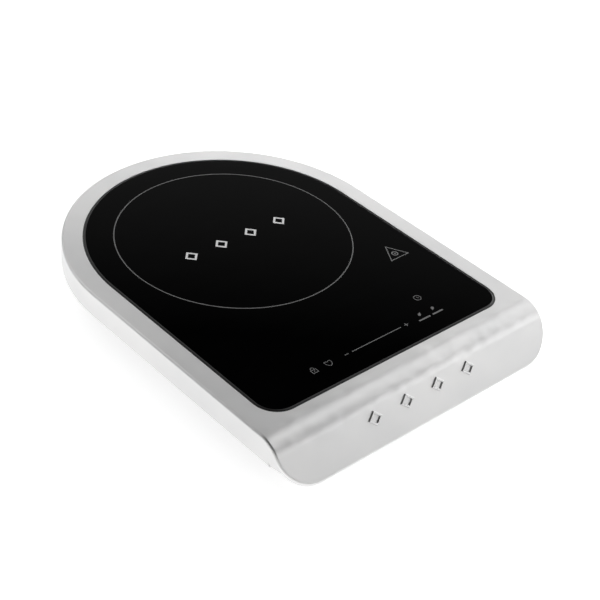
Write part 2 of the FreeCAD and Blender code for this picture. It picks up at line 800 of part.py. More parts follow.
def spring_spots():
    """The three sprung posts round the coil."""
    spots = {}
    for name, angle in SPRING_ANGLES.items():
        c, s = math.cos(math.radians(angle)), math.sin(math.radians(angle))
        spots[name] = (d["ear_at"] * c, ZONE_Y + d["ear_at"] * s)
    return spots


def shield_spots():
    reach = d["shield_radius"] - 9
    angles = [math.radians(a) for a in (30, 150, 270)]
    return [(reach * math.cos(a), ZONE_Y + reach * math.sin(a)) for a in angles]


def tub_half(z):
    """Outer half width of the drafted tub at height z."""
    draft = (d["tub_top_half"] - d["tub_low_half"]) / (SKIRT_Z - d["floor_low"])
    return d["tub_low_half"] + draft * (z - d["floor_low"])


def tub_section(body, name, z, inset):
    grow = tub_half(z) - d["tub_low_half"] - inset
    corner = d["tub_low_corner"] + (d["tub_top_corner"] - d["tub_low_corner"]) * 0.1 * grow
    sketch = sketch_on(body, name, offset=z)
    return d_outline(sketch, d["tub_low_half"] + grow, -d["tub_low_front"] - grow, corner)


def make_base_tub():
    """The plastic base: a flange that closes the body, a drafted tub, posts, and vent slots."""
    body = new_body("base_tub_body")
    sections = [tub_section(body, "tub_low", d["floor_low"], 0), tub_section(body, "tub_high", SKIRT_Z, 0)]
    loft(body, "Additive", sections)
    flange = sketch_on(body, "flange", offset=SKIRT_Z)
    d_outline(flange, HALF - d["wall"] - d["base_gap"], -d["flange_front"], as_size(7))
    pad(body, flange, d["flange_thick"])
    doc.recompute()
    solid = body.Shape.Volume
    inside = [
        tub_section(body, "inner_low", FLOOR_TOP, d["tub_wall"]),
        tub_section(body, "inner_high", FLANGE_TOP + 1, d["tub_wall"]),
    ]
    loft(body, "Subtractive", inside)
    doc.recompute()
    if not body.Shape.Volume < solid * 0.6:
        raise RuntimeError("the tub isn't hollow")

    posts = [
        ("fan_posts", fan_spots(), 3.4, d["fan_low"]),
        ("board_posts", board_spots(), 3.2, d["board_low"]),
        ("spring_posts", list(spring_spots().values()), d["post_radius"], d["post_top"]),
        ("shield_posts", shield_spots(), 3.2, d["shield_low"]),
    ]
    for name, spots, radius, top in posts:
        rings = sketch_on(body, name, offset=FLOOR_TOP - BITE)
        pad(body, circles(rings, spots, radius), top - FLOOR_TOP + BITE)
    for name, spots, radius, top in posts:
        pilots = sketch_on(body, name + "_pilot", offset=top)
        pocket(body, circles(pilots, spots, d["screw_pilot"]), top - FLOOR_TOP)

    rims = sketch_on(body, "rim_holes", offset=FLANGE_TOP)
    circles(rims, rim_spots(), d["screw_hole"])
    pocket(body, rims, d["flange_thick"])
    sinks = sketch_on(body, "rim_counterbores", offset=SKIRT_Z + d["screw_sunk"])
    circles(sinks, rim_spots(), d["screw_head"] + 0.4)
    pocket(body, sinks, d["screw_sunk"])

    slots = sketch_on(body, "intake_slots", offset=FLOOR_TOP)
    reach = d["fan_bore"].value - 6
    for k in range(-4, 5):
        y = d["fan_y"] + d["slot_pitch"] * k
        half = as_size(round(math.sqrt(reach**2 - (d["slot_pitch"].value * k) ** 2), 1))
        r = d["slot_width"] / 2
        for side in (-1, 1):
            near, far = d["fan_x"] + side * 2, d["fan_x"] + side * half
            path(
                slots,
                [
                    (near, y + r * side),
                    (near, y - r * side),
                    (far, y - r * side),
                    (far, y + r * side, r * 1.0001),
                ],
            )
    pocket(body, slots, d["floor_thick"])
    feet = sketch_on(body, "foot_pockets", offset=d["floor_low"])
    circles(feet, foot_spots().values(), d["foot_radius"] + 0.15)
    pocket(body, feet, d["foot_sunk"], up=True)
    pins = sketch_on(body, "terminal_pins", offset=FLOOR_TOP - BITE)
    circles(pins, TERMINAL_PINS, 1.5)
    pad(body, pins, 3 + BITE)
    baffle = sketch_on(body, "air_baffle", offset=FLOOR_TOP - BITE)
    edge, notch = d["tub_low_half"] - 1, (d["board_left"] + 2, d["board_left"] + 12)
    for x0, x1 in ((-edge, notch[0]), (notch[1], edge)):
        rectangle(baffle, x0, BAFFLE_Y, x1, BAFFLE_Y + 1.4)
    pad(body, baffle, 14)

    low, high = FLOOR_TOP + 2.5, SKIRT_Z - 3
    wide = d["slot_width"]
    side_vents = [block(112, y, low, 26, wide, high - low) for y in range(-126, -44, 7)]
    rear_vents = [
        block(side * x - wide / 2, ZONE_Y + 96.5, low, wide, 45, high - low)
        for side in (-1, 1)
        for x in range(24, 60, 7)
    ]
    boss = rod(0, GLAND_IN, d["gland_height"], d["gland_flange"] + 0.8, GLAND_OUT - GLAND_IN, along="Y")
    gland_hole = rod(0, GLAND_IN - 8, d["gland_height"], d["gland_body"] + 0.1, 40, along="Y")
    return node("base_tub", cut(join(body, boss), gland_hole, *side_vents, *rear_vents))


def make_feet():
    """Pressed-in rubber feet with a chamfered edge and a grip groove."""
    radius, bevel = d["foot_radius"], 0.8
    for name, (x, y) in foot_spots().items():
        disc = rod(x, y, bevel, radius, d["floor_low"] + d["foot_sunk"] - bevel)
        foot = join(cone(x, y, 0, radius - bevel, radius, bevel), disc)
        node(name, cut(foot, tube(x, y, 0, radius * 0.72, radius * 0.6, 0.6)))


def make_base_fittings():
    sunk = SKIRT_Z + d["screw_sunk"]
    node("base_screws", group(*[screw(x, y, sunk, 10, up=False) for x, y in rim_spots()]))

    z, bore, body = d["gland_height"], d["gland_bore"], d["gland_body"]
    neck = GLAND_IN - 0.2
    bush = join(
        rod(0, GLAND_END, z, body, GLAND_OUT - GLAND_END, along="Y"),
        rod(0, GLAND_OUT, z, d["gland_flange"], 1.6, along="Y"),
        cone(0, GLAND_OUT + 1.6, z, d["gland_flange"], d["gland_flange"] - 0.9, 0.9, along="Y"),
    )
    groove = tube(0, neck - 1.6, z, body + 1, body - 1.2, 1.6, along="Y")
    node("cord_gland", cut(bush, groove, rod(0, GLAND_END - 1, z, bore, 30, along="Y")))
    plate = block(-8, neck - 1.55, FLOOR_TOP + 0.3, 16, 1.5, 15)
    slot = body - 1.1
    opening = block(-slot, neck - 3, z, slot * 2, 5, 20)
    node("gland_clip", cut(plate, opening, rod(0, neck - 3, z, slot, 5, along="Y")))

    plate = new_body("rating_plate_body")
    outline = sketch_on(plate, "label", offset=d["floor_low"] - 0.4)
    round_rectangle(outline, -32, 52, 32, 92, 3)
    pad(plate, outline, 0.4)
    node("rating_plate", plate)


# ---------------------------------------------------------------- under the glass: the coil


def make_coil_assembly():
    """The floating coil: litz winding, carrier, ferrites, insulation sheet and temperature sensor."""
    pitch, wide = d["coil_pitch"], d["litz_wide"]
    halves = []
    reach = d["carrier_radius"] + 5
    for name, shift, side in (("front_half", 0, -1), ("back_half", pitch / 2, 1)):
        body = new_body("winding_" + name)
        place(body, 0, ZONE_Y, 0)
        turns = sketch_on(body, name, offset=COIL_LOW)
        for k in range(int(d["coil_turns"].value)):
            middle = d["coil_inner"] + shift + pitch * k
            circles(turns, [(shift, 0)], middle - wide / 2)
            circles(turns, [(shift, 0)], middle + wide / 2)
        pad(body, turns, d["litz_high"])
        other = sketch_on(body, name + "_cut", offset=SHEET_LOW)
        low, high = (0, reach) if side < 0 else (-reach, 0)
        rectangle(other, -reach, low, reach, high)
        pocket(body, other, d["litz_high"])
        halves.append(body)
    node("coil_winding", join(*halves))

    body = new_body("coil_carrier_body")
    place(body, 0, ZONE_Y, 0)
    disc = sketch_on(body, "disc", offset=CARRIER_LOW)
    circles(disc, [(0, 0)], d["carrier_radius"])
    pad(body, disc, d["carrier_thick"])
    ears = sketch_on(body, "ears", offset=EAR_LOW)
    spots = [(x, y - ZONE_Y) for x, y in spring_spots().values()]
    circles(ears, spots, d["ear_radius"])
    pad(body, ears, 3)
    arms = sketch_on(body, "arms", offset=EAR_LOW)
    for angle in SPRING_ANGLES.values():
        turned_rectangle(arms, angle, d["carrier_radius"] - 7, d["ear_at"], 4.5)
    pad(body, arms, 3)
    holes = sketch_on(body, "ear_holes", offset=TOP)
    circles(holes, spots, 2.4)
    circles(holes, [(0, 0)], 6)
    circles(holes, [LEAD_HOLE], 3)
    pocket(body, holes, TOP)
    window = sketch_on(body, "window", offset=TOP)
    near, far = 36, 88
    a, b = math.radians(10), math.radians(17)
    path(
        window,
        [
            (near * math.cos(a), near * math.sin(-a)),
            (far * math.cos(b), far * math.sin(-b)),
            (far * math.cos(b), far * math.sin(b), far),
            (near * math.cos(a), near * math.sin(a)),
        ],
    )
    around(body, pocket(body, window, TOP), 8)
    slot = sketch_on(body, "ferrite_slot", offset=CARRIER_LOW)
    start, end = d["ferrite_start"] - 0.1, d["ferrite_start"] + d["ferrite_long"] + 0.1
    turned_rectangle(slot, FERRITE_ANGLE, start, end, d["ferrite_wide"] / 2 + 0.1)
    around(body, pocket(body, slot, 0.4, up=True), 8)
    node("coil_carrier", body)

    bars = new_body("ferrite_bars_body")
    place(bars, 0, ZONE_Y, 0)
    outline = sketch_on(bars, "bar", offset=FERRITE_LOW)
    start = d["ferrite_start"]
    turned_rectangle(outline, FERRITE_ANGLE, start, start + d["ferrite_long"], d["ferrite_wide"] / 2)
    around(bars, pad(bars, outline, d["ferrite_high"]), 8)
    node("ferrite_bars", bars)

    node("insulation_sheet", tube(0, ZONE_Y, SHEET_LOW, d["carrier_radius"] + 1, 11, d["sheet_thick"]))
    brim = 1.2
    cap = join(
        rod(0, ZONE_Y, COIL_LOW, 13, brim),
        rod(0, ZONE_Y, COIL_LOW + brim, 9, GLASS_LOW - COIL_LOW - brim),
    )
    node("sensor_cap", cut(cap, rod(0, ZONE_Y, COIL_LOW - 1, 2, 10)))
    bead = rod(0, ZONE_Y, GLASS_LOW - 2.6, 1.6, 2.4)
    node("thermistor", join(bead, rod(0, ZONE_Y, GLASS_LOW - 3.6, 1.1, 1)))

    middle = COIL_LOW + d["litz_high"] / 2
    first = d["coil_inner"]
    last = d["coil_inner"] + pitch * d["coil_turns"]
    under = float(CARRIER_LOW) - 2
    left_x, right_x = COIL_TAPS
    tap_y, tap_z = COIL_TAP_Y, float(BOARD_TOP) + 8
    axis_y, mid = float(ZONE_Y), float(middle)
    inner_lead = bent_wire(
        [
            (float(first), axis_y, mid),
            (float(first), axis_y + 3.5, mid),
            (LEAD_HOLE[0], axis_y + LEAD_HOLE[1], mid),
            (LEAD_HOLE[0], axis_y + LEAD_HOLE[1], under),
            (3, axis_y - 24, under),
            (0, -56, under),
            (left_x, tap_y, under),
            (left_x, tap_y, tap_z),
        ],
        1.35,
        5,
    )
    outer_lead = bent_wire(
        [
            (float(last), axis_y, mid),
            (float(last), -30, mid),
            (right_x, tap_y, 30),
            (right_x, tap_y, tap_z),
        ],
        1.35,
        8,
    )
    sensor_lead = bent_wire(
        [
            (0, axis_y, float(GLASS_LOW) - 3.6),
            (0, axis_y, 31),
            (-4.8, axis_y - 24, 31),
            (-4.8, -50, 31),
            (27, -56.7, 27),
            (27, -56.7, float(BOARD_TOP) + 5.4),
        ],
        0.6,
        3,
    )
    node("coil_leads", group(feature(inner_lead), feature(outer_lead), feature(sensor_lead)))


def make_springs():
    """Compression springs and shoulder screws that press the coil up against the glass."""
    wire, radius = d["spring_wire"], d["spring_radius"]
    screws = []
    for name, (x, y) in spring_spots().items():
        helix = doc.addObject("Part::Helix", "helix")
        helix.SegmentLength = 1
        height = EAR_LOW - d["post_top"] - wire
        bind(helix, Radius=radius, Height=height, Pitch=height / 4)
        ring = bind(doc.addObject("Part::Circle", "ring"), Radius=wire / 2)
        place(ring, radius, 0, 0, FreeCAD.Rotation(FreeCAD.Vector(1, 0, 0), 90))
        doc.recompute()
        coil = doc.addObject("Part::Sweep", "coil")
        coil.Sections = [ring]
        coil.Spine = (helix, [f"Edge{k + 1}" for k in range(len(helix.Shape.Edges))])
        coil.Solid = True
        coil.Frenet = True
        node(f"coil_spring_{name}", place(coil, x, y, d["post_top"] + wire / 2))
        seat = EAR_LOW + 3.6
        shoulder = rod(x, y, d["post_top"], 2, seat - d["post_top"])
        screws.append(join(shoulder, screw(x, y, seat, 20, head=as_size(4))))
    node("coil_mount_screws", group(*screws))

    low, radius, thick = d["shield_low"], d["shield_radius"], d["shield_thick"]
    lip = d["shield_lip"]
    disc = rod(0, ZONE_Y, low, radius, thick)
    brim = tube(0, ZONE_Y, low - lip, radius, radius - thick, lip + BITE)
    holes = [rod(x, y, low - 1, d["screw_hole"], thick + 2) for x, y in shield_spots()]
    node("heat_shield", cut(join(disc, brim), *holes))


# ---------------------------------------------------------------- the fan


def make_fan():
    x, y, low, deep = d["fan_x"], d["fan_y"], d["fan_low"], d["fan_deep"]
    half = d["fan_size"] / 2
    floor = low + 1.8
    tube_top = low + deep - 4.5
    body = new_body("fan_frame_body")
    outline = sketch_on(body, "frame", offset=low)
    round_rectangle(outline, x - half, y - half, x + half, y + half, 5)
    circles(outline, [(x, y)], d["fan_bore"])
    pad(body, outline, deep)
    hub = sketch_on(body, "hub", offset=low)
    circles(hub, [(x, y)], d["hub_radius"])
    pad(body, hub, floor - low)
    struts = sketch_on(body, "struts", offset=low)
    for sx, sy in ((1, 0), (-1, 0), (0, 1), (0, -1)):
        ends = [x + sx * 14 - abs(sy) * 1.5, y + sy * 14 - abs(sx) * 1.5]
        ends += [x + sx * (d["fan_bore"] + 1) + abs(sy) * 1.5, y + sy * (d["fan_bore"] + 1) + abs(sx) * 1.5]
        x0, x1 = sorted((ends[0], ends[2]), key=float)
        y0, y1 = sorted((ends[1], ends[3]), key=float)
        rectangle(struts, x0, y0, x1, y1)
    pad(body, struts, floor - low)
    post = sketch_on(body, "bearing_post", offset=low)
    circles(post, [(x, y)], d["bearing_post"])
    pad(body, post, tube_top - low)
    bore = sketch_on(body, "bearing_bore", offset=tube_top)
    circles(bore, [(x, y)], d["bearing_radius"])
    pocket(body, bore, tube_top - low - 1)
    fixings = sketch_on(body, "fixings", offset=low + deep)
    circles(fixings, fan_spots(), 2.15)
    pocket(body, fixings, deep)
    relief = sketch_on(body, "relief", offset=low + deep - 3)
    for sx in (-1, 1):
        x0, x1 = sorted((x + sx * (half - FAN_RELIEF), x + sx * (half + 1)), key=float)
        rectangle(relief, x0, y - 24, x1, y + 24)
    pocket(body, relief, deep - 6)
    node("fan_frame", body)

    node("fan_bearing", tube(x, y, floor, d["bearing_radius"], 1.53, tube_top - floor))
    ring, slot, at = 1.2, 2.4, 8
    slots = [
        block(x + sx - slot / 2, y + sy - slot / 2, floor + ring, slot, slot, 8)
        for sx in (-at, at)
        for sy in (-at, at)
    ]
    poles = cut(rod(x, y, floor + ring, 11, 5.6), *slots)
    eye = rod(x, y, floor - 1, d["bearing_post"] + 0.1, 12)
    node("fan_stator", cut(join(poles, rod(x, y, floor, 12, ring)), eye))
    tops = [screw(sx, sy, low + deep, deep + 1.8, head=as_size(3.4)) for sx, sy in fan_spots()]
    node("fan_screws", group(*tops))

    wing = new_body("fan_blades_body")
    place(wing, x, y, low + deep / 2 + 0.4)
    sections = []
    for name, at, half_chord, tilt, camber in (("root", 14.6, 7.2, 48, 22), ("tip", 38, 9.3, 30, 28)):
        section = sketch_on(wing, name, "YZ_Plane", offset=at)
        c, s = math.cos(math.radians(tilt)), math.sin(math.radians(tilt))
        t = 0.6
        path(
            section,
            [
                (-half_chord * c + t * s, -half_chord * s - t * c),
                (half_chord * c + t * s, half_chord * s - t * c, camber),
                (half_chord * c - t * s, half_chord * s + t * c),
                (-half_chord * c - t * s, -half_chord * s + t * c, -camber),
            ],
        )
        sections.append(section)
    around(wing, loft(wing, "Additive", sections), 7)
    blades = common(wing, rod(x, y, low, d["blade_tip"], deep))
    hub_low, hub_top = low + 2.6, low + deep - 1.2
    radius, skin = d["hub_radius"], 1.6
    hollow = rod(x, y, hub_low - 1, radius - skin, hub_top - hub_low + 1 - skin)
    cup = cut(rod(x, y, hub_low, radius, hub_top - hub_low), hollow)
    shaft = rod(x, y, floor + 0.4, 1.5, hub_top - floor - 1)
    node("fan_rotor", join(cup, shaft, blades))

    wires = []
    over, into = float(BOARD_TOP) + 6, float(BOARD_TOP) + 2.8
    start = float(x + half) - FAN_RELIEF
    for shift in (-1.2, 1.2):
        at = float(y) - FAN_LEAD_DOWN + shift
        route = [(start, at, over), (FAN_TAP_X, at, over), (FAN_TAP_X, at, into)]
        wires.append(feature(bent_wire(route, 0.6, 1.2)))
    node("fan_lead", group(*wires))


# ---------------------------------------------------------------- the power electronics


def make_power_board():
    left, front, low = d["board_left"], d["board_front"], d["board_low"]
    long, wide = d["board_right"] - left, d["board_back"] - front
    thick = d["board_thick"]
    holes = [rod(x, y, low - 1, d["screw_hole"], thick + 2) for x, y in board_spots()]
    node("power_board", cut(block(left, front, low, long, wide, thick), *holes))
    shield_seat = d["shield_low"] + d["shield_thick"]
    fixed = [screw(x, y, BOARD_TOP, 4.8) for x, y in board_spots()]
    fixed += [screw(x, y, shield_seat, 8) for x, y in shield_spots()]
    node("floor_screws", group(*fixed))

    body = new_body("heat_sink_body")
    comb = sketch_on(body, "comb", "YZ_Plane", offset=d["sink_left"])
    face, back = d["sink_front"], d["sink_front"] + d["sink_plate"]
    tip, foot = back + d["fin_long"], BOARD_TOP + 1.2
    corners = [(face, foot)]
    count = int(d["fin_count"].value)
    for k in range(count):
        z = foot + d["fin_pitch"] * k
        corners += [(back, z)] if k else []
        corners += [(tip, z), (tip, z + d["fin_thick"])]
        corners += [(back, z + d["fin_thick"])] if k < count - 1 else []
    corners.append((face, foot + d["fin_pitch"] * (count - 1) + d["fin_thick"]))
    path(comb, corners)
    pad(body, comb, d["sink_long"])
    middle = foot + 9
    right = d["sink_left"] + d["sink_long"]
    legs = [block(x, face + 1.5, BOARD_TOP, 2, 1.5, 1.4) for x in (d["sink_left"] + 4, right - 6)]
    pilots = [rod(x, face - 1, middle, d["screw_pilot"], 5, along="Y") for x in DEVICE_SPOTS]
    node("heat_sink", cut(join(body, *legs), *pilots))

    def device(x, half, high, deep, lead_pitch, leads):
        """A flat power package on the sink's face, with its leads in the board."""
        case = block(x - half, face - deep, middle - high / 2, half * 2, deep, high)
        chamfer = doc.addObject("Part::Chamfer", "package")
        chamfer.Base = case
        doc.recompute()
        front = float(face - deep)
        on_front = [k for k, e in enumerate(case.Shape.Edges, 1) if abs(e.BoundBox.YMax - front) < 1e-6]
        chamfer.Edges = [(k, 0.7, 0.7) for k in on_front]
        wide, thin = 1.2, 0.6
        drop = middle - high / 2 - BOARD_TOP
        first, row = x - (lead_pitch * (leads - 1) + wide) / 2, face - (deep + thin) / 2
        pins = [block(first + lead_pitch * k, row, BOARD_TOP, wide, thin, drop) for k in range(leads)]
        hole = rod(x, face - deep - 1, middle, d["screw_hole"], deep + 2, along="Y")
        return cut(join(chamfer, *pins), hole)

    deep = 4.6
    node("power_transistor", device(DEVICE_SPOTS[0], 8, 14, deep, 5.4, 3))
    node("bridge_rectifier", device(DEVICE_SPOTS[1], 13, 13, deep, 6.5, 4))
    screws = []
    for x in DEVICE_SPOTS:
        head = cut(
            rod(x, face - deep - 1.6, middle, d["screw_head"], 1.6, along="Y"),
            block(x - 1.8, face - deep - 1.7, middle - 0.35, 3.6, 1, 0.7),
            block(x - 0.35, face - deep - 1.7, middle - 1.8, 0.7, 1, 3.6),
        )
        screws.append(join(head, rod(x, face - deep, middle, d["screw_shank"], deep + 3.5, along="Y")))
    node("device_screws", group(*screws))


def soft_box(x, y, z, length, width, height, radius):
    """A box with rounded upright and top edges."""
    case = block(x, y, z, length, width, height)
    doc.recompute()
    made = doc.addObject("Part::Fillet", "soft_box")
    made.Base = case
    floor = float(as_size(z))
    rounded = [k for k, e in enumerate(case.Shape.Edges, 1) if e.BoundBox.ZMax > floor + 1e-6]
    made.Edges = [(k, radius, radius) for k in rounded]
    return made


def make_components():
    z = BOARD_TOP
    node("dc_link_capacitor", soft_box(-10, -74, z, 32, 16, 16.5, 1))
    node("resonant_capacitor", soft_box(84, -105, z, 20, 38, 17, 1))
    node("suppression_capacitor", soft_box(72, -140, z, 18, 9, 14, 0.8))
    can = join(rod(88, -121, z, 5, 15.2), cone(88, -121, z + 15.2, 5, 4.4, 0.8))
    vent = [block(84, -121.2, z + 15.6, 8, 0.4, 1), block(87.8, -125, z + 15.6, 0.4, 8, 1)]
    node("smoothing_capacitor", cut(can, *vent, tube(88, -121, z + 2.2, 6, 4.7, 0.8)))

    x, y, ring, core = 40, -65.1, 6.6, 2.2
    middle = z + 3.3
    toroid = bind(doc.addObject("Part::Torus", "core"), Radius1=ring, Radius2=core)
    node("choke_core", place(toroid, x, y, middle))
    loops = []
    for k in range(14):
        angle = 360 / 14 * k
        c, s = math.cos(math.radians(angle)), math.sin(math.radians(angle))
        loop = bind(doc.addObject("Part::Torus", "loop"), Radius1=core + 0.55, Radius2=0.55)
        turn = FreeCAD.Rotation(FreeCAD.Vector(c, s, 0), 90)
        loops.append(place(loop, x + ring * c, y + ring * s, middle, turn))
    node("choke_winding", group(*loops))

    core = cut(block(58, -73, z + 2, 18, 16, 13), block(61, -74, z + 5, 12, 18, 7))
    bobbin = join(block(62, -72.4, z, 10, 14.8, 2), rod(67, -72, z + 8.5, 3.4, 14, along="Y"))
    node("aux_transformer", join(core, bobbin, block(65, -73, z + 2, 4, 16, 13)))

    caps = [rod(x, -127, z + 4.2, 2.9, 4.4, along="X") for x in (-11, 5.6)]
    clips = [block(x, -128.5, z, 2.4, 3, 2) for x in (-10, 6.6)]
    node("fuse", join(rod(-9, -127, z + 4.2, 2.5, 17, along="X"), *caps, *clips))
    sounder = cut(rod(62, -131, z, 6, 7.5), rod(62, -131, z + 6.5, 1.4, 2))
    node("buzzer", sounder)

    lead_y = d["fan_y"] - FAN_LEAD_DOWN
    socket = block(FAN_TAP_X - 1.6, lead_y - 2, z + 2.8, 3.2, 4, 3)
    plugs = [
        cut(block(FAN_TAP_X - 3, lead_y - 3.5, z, 6, 7, 5), socket),
        block(RIBBON_X - 8, RIBBON_Y - 2.5, z, 16, 5, 5),
        block(-17, -84, z, 7, 14, 8),
        block(24, -58.4, z, 6, 3.6, 5.4),
    ]
    node("board_connectors", group(*plugs))
    taps = []
    for x in COIL_TAPS:
        screw_hole = rod(x, COIL_TAP_Y - 4, z + 5, 1.2, 3, along="Y")
        taps.append(cut(block(x - 3, COIL_TAP_Y - 3, z, 6, 6, 8), screw_hole))
    node("coil_terminals", group(*taps))


def make_mains():
    low = FLOOR_TOP
    rear = TERMINAL_Y + 6
    case = block(-12, TERMINAL_Y - 6, low, 24, 12, 10)
    wells = [rod(x, TERMINAL_Y - 2.5, low + 5, 2, 8) for x in (-8, 0, 8)]
    entries = [rod(x, rear - 5, low + 4, 1.5, 8, along="Y") for x in (-8, 0, 8)]
    pins = [rod(x, y, low - 1, 1.5, 4) for x, y in TERMINAL_PINS]
    node("mains_terminals", cut(case, *wells, *entries, *pins))
    front, z = TERMINAL_Y - 6, float(low) + 4
    leads = []
    for near, far in ((-8, -14.8), (0, -12.2)):
        route = [(near, front, z), (near, front - 6, z), (near, front - 20, 9)]
        route += [(far, front - 46, 9), (far, -42, 9), (far, -50, 17.2)]
        leads.append(feature(bent_wire(route + [(far, -70, 17.2)], 1.1, 6)))
    node("mains_leads", group(*leads))

    x, y = float(EARTH_SPOT[0]), float(EARTH_SPOT[1])
    seat, thick = EARTH_SEAT, 0.8
    tag = cut(
        join(rod(x, y, seat - thick, 3.4, thick), block(x - 1.4, y - 8, seat - thick, 2.8, 6, thick)),
        rod(x, y, seat - 2, d["screw_hole"], 4),
    )
    level = float(seat) - thick - 0.9
    barrel = rod(x, y - 8, level, 1.6, 3.4, along="Y")
    route = [(x, y - 7, level), (x, y - 17, level), (8, y - 22, 16), (8, y - 25, z + 4), (8, rear, z + 4)]
    node("earth_lead", join(tag, barrel, feature(bent_wire(route, 1.1, 4))))
    node("earth_screw", screw(x, y, seat - thick, 6.5, up=False))


# ---------------------------------------------------------------- the controls


def make_controls():
    low, thick = d["bracket_low"], d["bracket_thick"]
    half = d["bracket_half"]
    front, back = d["control_front"] - 5, d["control_back"] + 5
    body = new_body("control_bracket_body")
    outline = sketch_on(body, "plate", offset=low)
    round_rectangle(outline, -half, front, half, back, 4)
    pad(body, outline, thick)
    stands = sketch_on(body, "stands", offset=low + thick - 0.2)
    circles(stands, CONTROL_SCREWS, 3.2)
    pad(body, stands, d["control_low"] - low - thick + 0.2)
    holes = sketch_on(body, "holes", offset=low + 5)
    circles(holes, CONTROL_SCREWS, d["screw_pilot"])
    circles(holes, bracket_spots(), d["screw_hole"])
    rectangle(holes, RIBBON_X - 9, RIBBON_Y - 4, RIBBON_X + 9, RIBBON_Y + 6)
    for x in (-104, -74, -44, 84, 104):
        rectangle(holes, x - 7, -122, x + 7, -104)
    pocket(body, holes, 6)
    node("control_bracket", body)

    board = new_body("control_board_body")
    outline = sketch_on(board, "board", offset=d["control_low"])
    reach = d["control_half"]
    round_rectangle(outline, -reach, d["control_front"], reach, d["control_back"], 2)
    circles(outline, CONTROL_SCREWS, d["screw_hole"])
    pad(board, outline, d["board_thick"])
    node("control_board", board)

    fixed = [screw(x, y, CONTROL_TOP, 4.4) for x, y in CONTROL_SCREWS]
    fixed += [screw(x, y, low, 6.5, up=False) for x, y in bracket_spots()]
    node("control_screws", group(*fixed))

    high = GLASS_LOW - CONTROL_TOP
    keys = [rod(x, y, CONTROL_TOP, d["key_radius"], high) for x, y in KEY_SPOTS]
    starts = [-24 + 10.6 * k for k in range(5)]
    slider = [block(x, KEY_ROW - 4, CONTROL_TOP, 8.4, 8, high) for x in starts]
    node("touch_electrodes", group(*keys, *slider))
    spots = [(x + 3.2, KEY_ROW + 9) for x in starts] + [(x - 1, KEY_ROW + 12) for x in LAMP_KEYS]
    node("indicator_leds", group(*[soft_box(x, y, CONTROL_TOP, 2, 1.2, 1, 0.2) for x, y in spots]))

    ribbon = new_body("ribbon_cable_body")
    strip = sketch_on(ribbon, "strip", "YZ_Plane", offset=RIBBON_X)
    y, bottom, top = RIBBON_Y, BOARD_TOP + 5, d["control_low"]
    t, step = 0.4, 3
    path(
        strip,
        [
            (y - t, bottom),
            (y + t, bottom),
            (y + t, bottom + 4),
            (y + step + t, bottom + 8),
            (y + step + t, top),
            (y + step - t, top),
            (y + step - t, bottom + 8.3),
            (y - t, bottom + 4.3),
        ],
    )
    pad(ribbon, strip, 12, both=True)
    node("ribbon_cable", ribbon)


make_top_housing()
make_glass()
make_seal()
make_emblem()
make_base_tub()
make_feet()
make_base_fittings()
make_coil_assembly()
make_springs()
make_fan()
make_power_board()
make_components()
make_mains()
make_controls()

# ---------------------------------------------------------------- checking and writing
doc.recompute()
for obj in doc.Objects:
    if "Invalid" in obj.State or "Error" in obj.State:
        raise RuntimeError(f"{obj.Name} ({obj.Label}) failed: {obj.State}")
os.makedirs("parts", exist_ok=True)
for name, obj in nodes.items():
    shape = obj.Shape
    if shape.isNull() or not shape.isValid() or not shape.Solids:
        raise RuntimeError(f"{name} has no valid solid")
    shape.exportStep(f"parts/{name}.step")
    print(name, len(shape.Solids), "solid(s)", round(shape.Volume), "mm3")
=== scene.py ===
"""Looks of the portable induction cooktop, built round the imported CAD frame.

Metres, +Z up, -Y towards the user.
"""

import math

import bmesh
import bpy
from mathutils import Matrix, Vector


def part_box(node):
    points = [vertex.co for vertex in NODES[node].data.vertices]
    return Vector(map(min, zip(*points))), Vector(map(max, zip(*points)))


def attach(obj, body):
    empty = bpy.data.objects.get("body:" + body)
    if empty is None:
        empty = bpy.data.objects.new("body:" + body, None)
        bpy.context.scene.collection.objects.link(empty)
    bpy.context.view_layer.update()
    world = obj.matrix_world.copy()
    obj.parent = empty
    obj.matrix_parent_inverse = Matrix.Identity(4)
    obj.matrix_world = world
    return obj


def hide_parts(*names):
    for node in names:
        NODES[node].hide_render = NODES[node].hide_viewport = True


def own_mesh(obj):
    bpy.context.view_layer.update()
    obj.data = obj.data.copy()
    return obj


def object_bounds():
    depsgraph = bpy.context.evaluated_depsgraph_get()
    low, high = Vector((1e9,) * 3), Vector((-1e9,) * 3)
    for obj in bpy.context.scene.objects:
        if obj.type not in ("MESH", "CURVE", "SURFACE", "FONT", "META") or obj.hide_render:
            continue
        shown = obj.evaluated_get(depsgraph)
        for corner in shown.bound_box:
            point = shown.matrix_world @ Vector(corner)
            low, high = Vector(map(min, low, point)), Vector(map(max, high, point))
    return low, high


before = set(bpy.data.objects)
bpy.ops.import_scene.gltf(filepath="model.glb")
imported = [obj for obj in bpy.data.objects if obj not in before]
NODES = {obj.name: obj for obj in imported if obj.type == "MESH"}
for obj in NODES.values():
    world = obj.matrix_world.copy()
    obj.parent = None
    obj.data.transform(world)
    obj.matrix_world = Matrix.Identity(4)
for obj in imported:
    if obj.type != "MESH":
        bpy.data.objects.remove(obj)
CAD_LOW, CAD_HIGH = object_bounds()
MM = 0.001
SCENE = bpy.context.scene
